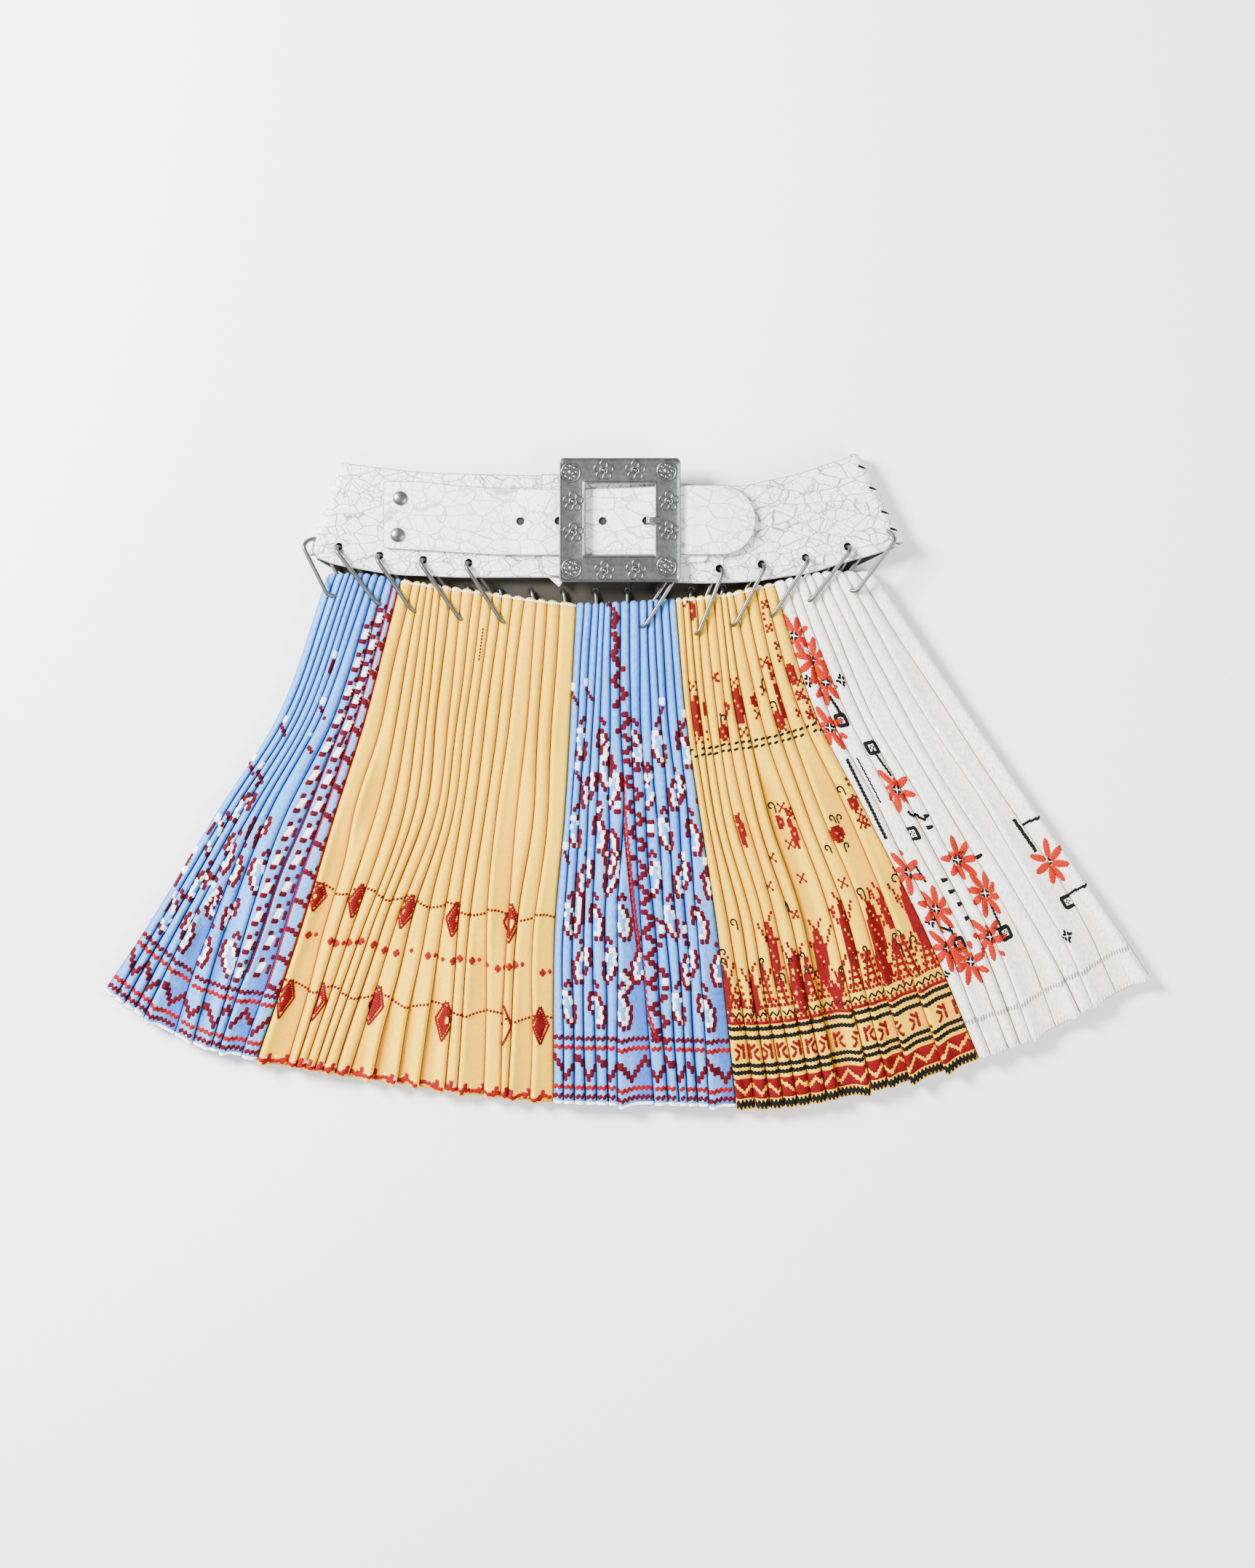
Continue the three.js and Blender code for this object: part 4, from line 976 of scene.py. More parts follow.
def figure_row(needle, up):
    spots = needle.steps(15.5)
    for k, spot in enumerate(spots):
        side = 1 if k % 2 else -1
        needle.sew("cherry", marks((-3.2 * side, -3.2 * side), (2.7, -2.7), 90, 5.4, 1.9), (spot, up))
        needle.sew("cherry", marks((0, 2.0 * side), (3.6, 0.6), 35 * side, 5.4, 1.7), (spot, up))
        needle.sew("cherry", marks(1.8 * side, -3.6, -50 * side, 5.2, 1.6), (spot, up))
        needle.sew("cherry", crosses((3.6 * side,), (-5.0,)), (spot, up))


def teeth(needle, low, high):
    columns = needle.steps(1.9)
    wave = np.round(np.abs((columns / 17 % 1) * 2 - 1) * 4) / 4
    deep = (high - low) * 0.52
    lower, upper = 1.6 + deep * wave, 1.6 + deep * (1 - wave)
    needle.sew("cherry", marks(columns, low + lower / 2, 90, lower, 2.0))
    needle.sew("cherry", marks(columns, high - upper / 2, 90, upper, 2.0))


def undergrowth(needle, low):
    """Sprigs between the flowers, each a leaning stem with side crosses and a small head."""
    for n, spot in enumerate(needle.steps(8.2)):
        tall = 5 + (n * 5 + 2) % 7
        k = np.arange(tall)
        side = 1 if n % 2 else -1
        needle.sew("cherry", crosses(side * 0.35 * k, 2.3 * k, 2.6, 1.1), (spot, low))
        arm = np.arange(1, tall - 1, 2)
        for way in (-1, 1):
            across = way * 2.2 + side * 0.35 * arm
            needle.sew("cherry", crosses(across, 2.3 * arm + 1.4, 2.4, 1.0), (spot, low))
        if n % 3 != 1:
            head = (spot + side * 0.35 * tall, low + 2.3 * tall + 1.5)
            bud(needle, head, 4.6, 5.6, 0.0)
            curl(needle, np.array(head) + (0.0, 3.6), 2.0, side)


def branch(needle, place, count, across_step, up_step):
    k = np.arange(count)
    needle.sew("cherry", crosses(across_step * k + 0.9 * (k % 2), up_step * k, 2.4, 1.0), place)


def embroider_yellow_right(needle):
    net_row(needle, 2.4, 4.4, 3.4, "black")
    net_row(needle, 4.6, 4.0, 3.4, "black")
    teeth(needle, 7.5, 21.0)
    for up in (25, 30, 49, 55):
        chain_row(needle, up)
    figure_row(needle, 39.5)
    for rise, pitch in ((59.0, 2.0), (61.2, 4.0), (70.0, 3.0), (73.0, 6.0)):
        needle.sew("cherry", crosses(needle.steps(pitch), rise))
    net_row(needle, 64.5, 3.6, 6.0, "black")
    undergrowth(needle, 71.0)
    for x, y, width, height in TALL_BUDS:
        bud(needle, needle.at(x, y), width, height, 0.14)
        for side in (-1, 1):
            branch(needle, needle.at(x, y) + (side * width * 0.55, height * 0.2), 6, side * 1.1, 2.4)
            branch(needle, needle.at(x, y) + (side * width * 0.6, -height * 0.3), 5, side * 1.2, -2.0)
            branch(needle, needle.at(x, y) + (side * 1.0, height * 0.5), 4, side * 1.3, 2.2)
    for x, y, width, height in RED_BUDS:
        bud(needle, needle.at(x, y), width, height, 0.14)
    for x, y in RED_BLOSSOMS + [(95, -71), (118, -66), (146, -68)]:
        blossom(needle, needle.at(x, y))
    for x, y, size, side in CURLS:
        curl(needle, needle.at(x, y), size, side)
    for x, y in SPRIGS:
        needle.sew("cherry", crosses((-1.9, 1.9, 0, -1.9, 1.9), (-1.9, -1.9, 0, 1.9, 1.9)), needle.at(x, y))
    for x, y in path_points(DASHED_LINE, 4.6):
        for rise in (-2.2, 2.2):
            needle.sew("black", marks(0.6 * rise / 2.2, rise, 14, 4.0, 1.3), needle.at(x, y))


# %% [markdown]
# ## The white cloth's stars
# Eight-petalled stars in orange-red thread with black hearts are spread over the white cloth, with small
# black squares, straight bars and ladders between them. A petal is seven slanted stitches that swell and
# shrink.

# %% White
WHITE_STARS = [
    (112, 101), (124, 84), (134, 69), (137, 38), (183, -4), (225, -53), (244, -75), (191, -60), (218, -112),
    (286, -54), (210, -86), (247, -105), (234, -122),
]
WHITE_SQUARES = [(166, 25), (194, -35), (301, -80), (145, 43), (226, -110), (258, -103)]
WHITE_HEARTS = [(122, 70), (145, 71), (206, -94), (300, -104), (204, -136)]
WHITE_LADDERS = [
    (221, -74), (227, -82), (232, -92), (216, -66), (228, -48), (240, -50), (204, -22), (206, -30),
]
BLACK_BARS = [  # ends and width
    ((149, 16), (176, -39), 2.6), ((156, 16), (172, -14), 1.1), ((264, -24), (279, -45), 3.0),
    ((268, -29), (282, -23), 2.6), ((291, -60), (302, -76), 3.0), ((302, -75), (315, -69), 2.6),
    ((248, -84), (255, -99), 1.8), ((248, -99), (257, -100), 2.2), ((217, -94), (224, -107), 1.8),
    ((167, 22), (179, 6), 1.8), ((137, 59), (146, 46), 2.4), ((191, -20), (203, -26), 2.2),
    ((196, -57), (203, -68), 1.8), ((214, -100), (222, -101), 2.2),
]
STAR_REACH = 15.5
SQUARE_HALF = 3.4


def star(needle, place, tilt=10):
    k = np.arange(7)
    out = STAR_REACH * (0.3 + 0.7 * k / 6)
    long = 2.4 + 4.0 * np.sin(math.pi * (k + 0.8) / 7.4)
    petal = marks(out, 0, 48, long + 0.6, 1.9)
    for turn in range(0, 360, 45):
        needle.sew("orange", turned(petal, turn + tilt), place)
    heart(needle, place)


def heart(needle, place):
    for turn in (0, 90, 180, 270):
        needle.sew("black", turned(marks((2.2, 3.4), (0.5, -1.2), (60, -20), 2.8, 1.24), turn + 20), place)


def black_square(needle, place):
    side = marks((0, 0), (SQUARE_HALF, SQUARE_HALF + 0.9), 0, 2 * SQUARE_HALF + 2.0, 1.5)
    for turn in (0, 90, 180, 270):
        needle.sew("black", turned(side, turn), place)
        needle.sew("black", turned(marks((1.3,), (0.0,), 40, 1.5, 0.8), turn), place)


def black_bar(needle, start, end, width):
    for x, y in path_points((start, end), 1.4):
        needle.sew("black", marks(0, 0, 14, width + 0.4, 1.3), needle.at(x, y))


def embroider_white(needle):
    for k, (x, y) in enumerate(WHITE_STARS):
        star(needle, needle.at(x, y), tilt=10 + 9 * (k % 3))
    for x, y in WHITE_HEARTS:
        heart(needle, needle.at(x, y))
    for x, y in WHITE_SQUARES:
        black_square(needle, needle.at(x, y))
    for x, y in WHITE_LADDERS:
        needle.sew("black", marks(0, (0, 0.8), (8, -8), 6.0, 1.5), needle.at(x, y))
    for start, end, width in BLACK_BARS:
        black_bar(needle, start, end, width)
    needle.sew("grey", marks(needle.steps(2.6), 27, 75, 3.6, 0.8))
    needle.sew("white", marks(needle.steps(3.0), 2.0, 60, 2.4, 0.8))


# %% Top edges
BELOW_EDGE = 2.0


def top_edge(needle, thread):
    """A row of upright stitches over the rolled edge of every pleat."""
    cloth = needle.cloth
    for pleat in range(cloth.count):
        wide = float(cloth.narrow[pleat, 0]) * THREAD_RISE
        count = max(2, round(wide / 1.9))
        across = needle.starts[pleat] + (np.arange(count) + 0.5) * wide / count
        needle.sew(thread, marks(across, cloth.length[pleat] - BELOW_EDGE, 82, 1.8, 0.9))


# %% [markdown]
# ## Sewing them all
# The hidden back repeats the hem rows, the dotted lines and a few stars.

# %% Sewing
BACK_STARS = [
    (140, -60), (190, -100), (240, -40), (280, -100), (160, 20), (210, 30), (110, -140), (230, -150),
]


def back_white(needle):
    for x, y in BACK_STARS:
        star(needle, needle.at(x, y))
    needle.sew("grey", marks(needle.steps(2.6), 27, 90, 2.4, 0.7))


WORK = {
    "front_blue_left": embroider_blue_left,
    "front_blue_centre": embroider_blue_centre,
    "front_yellow_left": embroider_yellow_left,
    "front_yellow_right": embroider_yellow_right,
    "front_white_right": embroider_white,
    "back_blue": blue_border,
    "back_yellow": embroider_yellow_left,
    "back_white": back_white,
}
for cloth_name, embroider in WORK.items():
    needle = Needle({**FRONTS, **BACKS}[cloth_name])
    embroider(needle)
    if "yellow" in cloth_name:
        top_edge(needle, "white")
    needle.finish()

# %% [markdown]
# ## Cracked leather
# The belt is white leather whose finish has broken into a fine net of grey cracks. Cells from a Voronoi
# texture have edges just like that. Some noise bends the cells, and a second, larger noise leaves calmer
# areas between worn ones.

# %% Leather and metal materials


def leather_material(name, cell_mm, crack, base, amount, roughness):
    """White leather with long cracks and short ones that join them."""
    recipe = Recipe(name, roughness=roughness, specular=0.45)
    place = recipe.node("ShaderNodeTexCoord").outputs["Object"]
    bend = recipe.node("ShaderNodeTexNoise", {"Vector": place, "Scale": 120.0, "Detail": 3.0})
    bend_by = {0: bend.outputs["Color"], 1: (0.003,) * 3}
    bent = recipe.node("ShaderNodeVectorMath", bend_by, operation="MULTIPLY")
    where = recipe.node("ShaderNodeVectorMath", {0: place, 1: bent.outputs[0]}, operation="ADD").outputs[0]

    def crack_lines(stretch, cell, width):
        longer = recipe.node("ShaderNodeVectorMath", {0: where, 1: stretch}, operation="MULTIPLY").outputs[0]
        edge = recipe.node(
            "ShaderNodeTexVoronoi", {"Vector": longer, "Scale": 1 / (cell * MM)}, feature="DISTANCE_TO_EDGE",
        ).outputs["Distance"]
        return recipe.sum("SUBTRACT", 1.0, recipe.soft_step(edge, 0.0, width))

    long_lines = crack_lines((0.55, 1.0, 1.0), cell_mm * 1.5, 0.05)
    short_lines = crack_lines((1.0, 0.6, 1.0), cell_mm, 0.06)
    worn = recipe.soft_step(recipe.noise(30.0, 2.0), 0.3, 0.6)
    faint = recipe.sum("MULTIPLY", short_lines, recipe.sum("MULTIPLY_ADD", worn, 0.55, 0.2))
    strong = recipe.sum("MULTIPLY", long_lines, 0.85)
    cracks = recipe.sum("MULTIPLY", recipe.sum("MAXIMUM", strong, faint), amount)
    clouds = recipe.blend(recipe.noise(16.0, 3.0), base, rgb(224, 224, 227))
    cut = recipe.node("ShaderNodeAttribute", attribute_name="cut_edge").outputs["Fac"]
    surface = recipe.blend(cracks, clouds, crack)
    # The open edges and the rims of the holes are grey: partly the raw cut edge's own colour, partly painted
    # shade at the rims.
    raw_edge_and_shade = rgb(128, 127, 125)
    colour = recipe.blend(recipe.soft_step(cut, 0.45, 0.75), surface, raw_edge_and_shade)
    recipe.feed(recipe.shader.inputs["Base Color"], colour)
    recipe.bump(recipe.sum("SUBTRACT", 1.0, cracks), 0.12, 0.6)
    return recipe.material


# The belt's inner face: a suede brown darkened into painted shade, for the shaded gap between the belt's
# layers.
def shaded_inner_leather():
    recipe = Recipe("belt_inner_face", roughness=0.8)
    patches = recipe.blend(recipe.noise(60.0, 5.0), rgb(22, 18, 10), rgb(44, 37, 24))
    recipe.feed(recipe.shader.inputs["Base Color"], patches)
    recipe.bump(recipe.noise(900.0, 3.0), 0.2, 0.5)
    return recipe.material


def metal_material(name, bright, dull, roughness, grain, dents=0.06):
    recipe = Recipe(name, roughness=roughness, metallic=1.0)
    recipe.feed(recipe.shader.inputs["Base Color"], recipe.blend(recipe.noise(180.0, 4.0), dull, bright))
    rough = recipe.sum("MULTIPLY_ADD", recipe.noise(420.0, 3.0), 0.25, roughness - 0.1)
    recipe.feed(recipe.shader.inputs["Roughness"], rough)
    recipe.bump(recipe.noise(grain, 3.0), dents, 0.4)
    return recipe.material


BELT_LEATHER = leather_material("cracked_white_leather", 5.2, rgb(70, 70, 74), rgb(244, 244, 245), 1.0, 0.5)
STRAP_LEATHER = leather_material("strap_leather", 6.5, rgb(84, 84, 88), rgb(251, 251, 251), 0.7, 0.45)
BELT_INSIDE_SHADE = shaded_inner_leather()
BUCKLE_METAL = metal_material("worn_cast_metal", rgb(138, 139, 140), rgb(88, 89, 90), 0.3, 700.0)
RING_STEEL = metal_material("polished_wire", rgb(118, 118, 116), rgb(88, 88, 86), 0.38, 300.0, dents=0.01)


# %% [markdown]
# ## The belt
# The belt is two front halves that overlap under the buckle and two back halves behind them. At each side
# the leather turns round a fold. It is laid out as a fine grid between its upper and lower edges. A ring
# hole is made by dropping the grid cells inside it and pulling the ones round it on to a true circle, which
# is quicker than a Boolean and keeps the grid clean.

# %% Bands with holes
LEATHER = 2.5
BELT_FOLD_RADIUS = 6.2
BELT_FOLD_Z = 9.2
FOLD_SHARE = 0.97
HOLE = 5.5
LEFT_FOLD = ((-222, 157), (-199, 220))  # bottom and top
RIGHT_FOLD = ((188, 165), (157, 226))
left_belt_top = smooth_line([(-199, 220), (-176, 217), (-138, 213), (-99, 212), (-61, 211), (0, 210)])
left_belt_bottom = smooth_line([
    (-222, 157), (-203, 150), (-182, 146), (-162, 143), (-141, 142), (-116, 141), (-61, 141), (0, 140),
])
right_belt_top = smooth_line([
    (-61, 212), (37, 205), (75, 204), (91, 207), (117, 213), (135, 219), (157, 226),
])
right_belt_bottom = smooth_line([
    (-61, 142), (35, 137), (79, 138), (108, 142), (122, 144), (142, 150), (171, 158), (188, 165),
])
back_belt_top = smooth_line([
    (-199, 220), (-170, 209), (-120, 197), (-60, 192), (0, 191), (60, 194), (110, 205), (157, 226),
])
back_belt_bottom = smooth_line([
    (-222, 157), (-190, 141), (-140, 128), (-80, 122), (0, 121), (60, 123), (110, 132), (150, 147),
    (188, 165),
])


def punch_holes(points, faces, holes, radius):
    """Opens a round hole at each x, y: cells inside go, and their rim is drawn to the circle."""
    points = points.copy()
    for x, y in holes:
        reach = np.hypot(points[:, 0] - x, points[:, 1] - y)
        inside = reach < radius
        faces = faces[~inside[faces].all(axis=1)]
        pull = radius / np.maximum(reach[inside], 1e-6)
        points[inside, 0] = x + (points[inside, 0] - x) * pull
        points[inside, 1] = y + (points[inside, 1] - y) * pull
    used, renumbered = np.unique(faces, return_inverse=True)
    return points[used], renumbered.reshape(faces.shape)


def on_open_edge(faces, count):
    """Marks the points of edges that only one face uses: the outline and the rims of the holes."""
    edges = np.sort(np.stack([faces, np.roll(faces, -1, axis=1)], axis=-1).reshape(-1, 2), axis=1)
    pairs, uses = np.unique(edges, axis=0, return_counts=True)
    marked = np.zeros(count)
    marked[pairs[uses == 1].ravel()] = 1
    return marked


def leather_band(name, points, faces, wall, material, holes=(), radius=HOLE / 2, grows=1.0, lining=None):
    points, faces = punch_holes(points.reshape(-1, 3), faces, holes, radius)
    piece = make_piece(name, points, faces, material)
    cut = piece.data.attributes.new("cut_edge", "FLOAT", "POINT")
    cut.data.foreach_set("value", on_open_edge(faces, len(points)))
    # The inner face takes the dark leather with painted shade.
    if lining:
        piece.data.materials.append(lining)
    body = piece.modifiers.new("wall", "SOLIDIFY")
    body.thickness = wall * MM
    body.offset = grows
    body.material_offset = 1 if lining else 0
    edge = piece.modifiers.new("edge", "BEVEL")
    edge.width = 0.6 * MM
    edge.segments = 2
    edge.limit_method = "ANGLE"
    edge.angle_limit = math.radians(50)
    return piece


def belt_band(
    name, end_x, fold, top_edge, bottom_edge, is_back, holes, lift=None, columns=170, lines=46, corner=0.0,
):
    (bottom_x, bottom_y), (top_x, top_y) = fold
    side = -1 if bottom_x < 0 else 1
    arc = 14
    across = np.linspace(0, 1, lines)
    share = np.linspace(0, 1, columns)[:, None]
    low_x = mix(end_x, bottom_x - side * BELT_FOLD_RADIUS, share)
    high_x = mix(end_x, top_x - side * BELT_FOLD_RADIUS, share)
    x = mix(low_x, high_x, across)
    y = mix(bottom_edge(low_x), top_edge(high_x), across)
    if corner:
        missing = np.clip(1 - (y - y[:, :1]) / corner, 0, 1)
        x = x + side * corner * (1 - np.sqrt(1 - missing**2)) * (1 - share)
    radius = BELT_FOLD_RADIUS
    level = -1 if is_back else 1
    z = np.full_like(x, BELT_FOLD_Z + level * radius)
    if lift:
        z = z + np.interp(x, *lift)
    turn = (math.pi / 2) * FOLD_SHARE * (np.arange(1, arc + 1) / arc)[:, None]
    fold_x = mix(bottom_x, top_x, across) - side * radius
    bend_x = fold_x + side * radius * np.sin(turn)
    bend_y = np.broadcast_to(mix(bottom_y, top_y, across), bend_x.shape)
    bend_z = np.broadcast_to(BELT_FOLD_Z + level * radius * np.cos(turn), bend_x.shape)
    points = np.stack([np.vstack([x, bend_x]), np.vstack([y, bend_y]), np.vstack([z, bend_z])], axis=-1)
    faces = grid_faces(columns + arc, lines)
    if side * level > 0:
        faces = faces[:, ::-1]
    faces = faces[:, ::-1]
    piece = leather_band(
        name + "_leather", points, faces, LEATHER, BELT_LEATHER, holes, grows=-1.0, lining=BELT_INSIDE_SHADE,
    )
    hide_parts(name)
    return piece


# %% [markdown]
# ## The rings
# Each ring is an oblong loop of steel wire. One end goes through the belt's hole, the other through the
# pleats. The loop lies nearly flat with one leg on top of the cloth and one under it, so it is built
# standing on edge and leaning. A swept circle along the loop's path makes the wire.

# %% Ring places
FRONT_RINGS = [  # the belt hole's X and Y, then the far end's
    (-220, 167, -201, 129), (-201, 162, -171, 123), (-173, 156, -147, 118), (-143, 153, -114, 112),
    (-112, 151, -85, 110), (32, 146, 7, 107), (62, 147, 44, 102), (91, 150, 69, 108), (121, 154.5, 95, 115),
    (150, 162, 121, 125), (178, 172, 149, 133),
]
BACK_RINGS = 16
WIRE = 2.9
RING_LEAN, FOLD_RING_LEAN = 2.2, 6.0
FRONT_RING_Z, FRONT_RING_HALF = 16.0, 4.7
BACK_RING_Z, BACK_RING_HALF = 4.875, 3.525
BACK_RING_START, BACK_RING_GAP, BACK_RING_REACH = -178.0, 22, 49


class Ring:
    def __init__(self, name, hole, end, middle_z, half_depth, lean, is_at_fold=False):
        self.name, self.hole, self.end, self.is_at_fold = name, np.array(hole), np.array(end), is_at_fold
        self.middle_z, self.half_depth, self.lean = middle_z, half_depth, lean
        self.reach = float(np.linalg.norm(self.end - self.hole))
        self.along = (self.end - self.hole) / self.reach
        self.sideways = np.array([-self.along[1], self.along[0]])

    def crossing(self, z):
        """Where the wire goes through leather at that height."""
        rise = (z - self.middle_z) / self.half_depth
        inset = self.half_depth * (1 - math.sqrt(max(0.0, 1 - rise * rise)))
        return tuple(self.hole + self.along * inset + self.sideways * self.lean * rise)

    def path(self):
        arc, leg = 10, 6
        turn = np.linspace(0, math.pi, arc + 1)
        far = self.reach - self.half_depth + self.half_depth * np.sin(turn)
        near = self.half_depth - self.half_depth * np.sin(turn)
        back = np.linspace(far[-1], near[-1], leg + 1)[1:-1]
        forth = np.linspace(near[0], far[0], leg + 1)[1:-1]
        along = np.concatenate([far, back, near, forth])
        side = np.concatenate([np.cos(turn), np.full(leg - 1, -1.0), -np.cos(turn), np.full(leg - 1, 1.0)])
        flat = self.hole + self.along * along[:, None] + self.sideways * (self.lean * side)[:, None]
        return np.column_stack([flat, self.middle_z + self.half_depth * side])


def front_ring(index, row):
    is_at_fold = index in (0, len(FRONT_RINGS) - 1)
    lean = math.copysign(FOLD_RING_LEAN if is_at_fold else RING_LEAN, row[0])
    name = f"ring_front_{index + 1:02d}"
    return Ring(name, row[:2], row[2:], FRONT_RING_Z, FRONT_RING_HALF, lean, is_at_fold)


def back_ring(index):
    x = BACK_RING_START + BACK_RING_GAP * index
    y = float(back_belt_bottom(x)) + 11
    turn = math.radians(-x * 0.2)
    end = (x + BACK_RING_REACH * math.sin(turn), y - BACK_RING_REACH * math.cos(turn))
    return Ring(f"ring_back_{index + 1:02d}", (x, y), end, BACK_RING_Z, BACK_RING_HALF, 0.0)


FRONT_RING_LIST = [front_ring(i, row) for i, row in enumerate(FRONT_RINGS)]
BACK_RING_LIST = [back_ring(i) for i in range(BACK_RINGS)]

# %% Belt halves


def holes_between(rings, low, high, z):
    return [r.crossing(z) for r in rings if not r.is_at_fold and low < r.hole[0] < high]


OVERLAP = ((50, 105), (2.8, 0))
FRONT_MIDDLE_Z, BACK_MIDDLE_Z = 12.9 + LEATHER / 2, 3.0 + LEATHER / 2
belt_band(
    "belt_left", 0, LEFT_FOLD, left_belt_top, left_belt_bottom, False,
    holes_between(FRONT_RING_LIST, -250, 0, FRONT_MIDDLE_Z),
)
belt_band(
    "belt_right", -61, RIGHT_FOLD, right_belt_top, right_belt_bottom, False,
    holes_between(FRONT_RING_LIST, 0, 250, FRONT_MIDDLE_Z), OVERLAP, corner=7.0,
)
belt_band(
    "belt_back_left", -0.15, LEFT_FOLD, back_belt_top, back_belt_bottom, True,
    holes_between(BACK_RING_LIST, -250, 0, BACK_MIDDLE_Z), columns=140, lines=44,
)
belt_band(
    "belt_back_right", 0.15, RIGHT_FOLD, back_belt_top, back_belt_bottom, True,
    holes_between(BACK_RING_LIST, 0, 250, BACK_MIDDLE_Z), columns=130, lines=44,
)
print("belt halves made, with", len(FRONT_RING_LIST) - 2 + len(BACK_RING_LIST), "ring holes")

# %% Wire loops
WIRE_SIDES = 12


def sweep(path, radius, sides, is_closed=True):
    """Points and faces of a round wire along a path."""
    path = np.asarray(path, float)
    if is_closed:
        ahead, behind = np.roll(path, -1, axis=0), np.roll(path, 1, axis=0)
    else:
        ahead, behind = np.vstack([path[1:], path[-1:]]), np.vstack([path[:1], path[:-1]])
    tangent = ahead - behind
    tangent /= np.linalg.norm(tangent, axis=1, keepdims=True)
    middle = path - path.mean(axis=0)
    normal = np.linalg.svd(middle, full_matrices=False)[2][-1]
    outward = np.cross(tangent, normal)
    outward /= np.linalg.norm(outward, axis=1, keepdims=True)
    third = np.cross(tangent, outward)
    turn = np.linspace(0, TURN, sides, endpoint=False)
    width = np.broadcast_to(radius, len(path))[:, None, None]
    ring = np.cos(turn)[None, :, None] * outward[:, None] + np.sin(turn)[None, :, None] * third[:, None]
    points = (path[:, None] + width * ring).reshape(-1, 3)
    count = len(path) if is_closed else len(path) - 1
    k, s = np.meshgrid(np.arange(count), np.arange(sides), indexing="ij")
    k, s = k.ravel(), s.ravel()
    next_k, next_s = (k + 1) % len(path), (s + 1) % sides
    faces = np.stack([
        k * sides + s, k * sides + next_s, next_k * sides + next_s, next_k * sides + s,
    ], axis=1)
    return points, faces


for ring in FRONT_RING_LIST + BACK_RING_LIST:
    piece = make_piece(ring.name + "_wire", *sweep(ring.path(), WIRE / 2, WIRE_SIDES), RING_STEEL)
    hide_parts(ring.name)
print(len(FRONT_RING_LIST + BACK_RING_LIST), "rings")

# %% [markdown]
# ## The strap
# The strap is riveted to the left half of the belt and runs over it to the buckle. Its end is rounded and it
# has four round holes. It climbs gently where the leather below doubles, so its height along the run comes
# from a short table that is smoothed before use.

# %% Strap and buckle tab
strap_top = smooth_line([
    (-170, 207), (-141, 206.5), (-116, 203.7), (-49, 201.3), (35, 203.7), (86, 204),
])
strap_bottom = smooth_line([(-170, 161), (-141, 159.3), (-84, 156.3), (35, 156.3), (86, 156.3)])
STRAP_LEVEL = (
    (-170, -80, -62, -10, 5, 21, 56, 86),
    (15.7, 15.7, 18.7, 18.7, 18.9, 21.0, 20.9, 18.5),
)
STRAP_START, STRAP_END, STRAP_TIP = -169.5, 62.75, 22.5
STRAP_WALL = 2.0
HOLE_Y = 179.5
STRAP_HOLES = [(x, HOLE_Y) for x in (-75.4, -49, -19, 10.8)]
STRAP_HOLE_RADIUS = 2.85


def make_strap():
    straight = np.linspace(STRAP_START, STRAP_END, 168)
    turn = np.linspace(0, math.pi / 2, 22)[1:]
    tip = STRAP_END + STRAP_TIP * np.sin(turn)
    x = np.append(straight, tip)
    half = np.append(np.ones(len(straight)), np.maximum(np.cos(turn), 0.02))
    half[0], half[1] = 0.94, 0.985
    end_x = np.minimum(x, STRAP_END)
    middle = (strap_top(end_x) + strap_bottom(end_x)) / 2
    reach = (strap_top(end_x) - strap_bottom(end_x)) / 2 * half
    across = np.linspace(-1, 1, 36)
    fine = np.linspace(-190, 110, 601)
    level = np.convolve(np.interp(fine, *STRAP_LEVEL), np.ones(19) / 19, mode="same")
    z = np.interp(x, fine[20:-20], level[20:-20])
    xs = np.broadcast_to(x[:, None], (len(x), len(across)))
    ys = middle[:, None] + reach[:, None] * across
    zs = np.broadcast_to(z[:, None] + STRAP_WALL, xs.shape)
    points = np.stack([xs, ys, zs], axis=-1)
    faces = grid_faces(len(x), len(across))
    piece = leather_band(
        "strap_leather", points, faces, STRAP_WALL, STRAP_LEATHER, STRAP_HOLES, STRAP_HOLE_RADIUS, -1.0,
    )
    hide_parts("strap")


def rounded_outline(left, right, bottom, top, corner, per_corner=7, per_side=4):
    """A rectangle's outline with round corners, from the lower right corner round to the left."""
    points = []
    corners = [
        (right - corner, bottom + corner, -90), (right - corner, top - corner, 0),
        (left + corner, top - corner, 90), (left + corner, bottom + corner, 180),
    ]
    for k, (x, y, start) in enumerate(corners):
        turn = np.radians(start + np.linspace(0, 90, per_corner))
        arc = np.stack([x + corner * np.cos(turn), y + corner * np.sin(turn)], axis=1)
        points.extend(arc)
        next_x, next_y, next_start = corners[(k + 1) % 4]
        first = np.radians(next_start)
        ahead = np.array([next_x + corner * np.cos(first), next_y + corner * np.sin(first)])
        points.extend(mix(arc[-1], ahead, t) for t in np.linspace(0, 1, per_side + 2)[1:-1])
    return np.array(points)


def plate(name, outlines, levels, material):
    """Outlines stacked at those heights, joined into a skin and closed at both ends."""
    count = len(outlines[0])
    points = np.vstack([np.column_stack([o, np.full(count, z)]) for o, z in zip(outlines, levels)])
    faces = []
    for k in range(len(outlines) - 1):
        for s in range(count):
            t = (s + 1) % count
            faces.append((k * count + s, k * count + t, (k + 1) * count + t, (k + 1) * count + s))
    faces.append(tuple(range(count))[::-1])
    faces.append(tuple((len(outlines) - 1) * count + s for s in range(count)))
    return make_piece(name, points, faces, material, is_smooth=False)


TAB_BOX = (24, 53, 151.3, 200)  # left, right, bottom, top
TAB_INNER = (24.4, 52.6, 151.7, 199.6)
TAB_LEVELS = [18.5, 18.9, 20.1, 20.5]


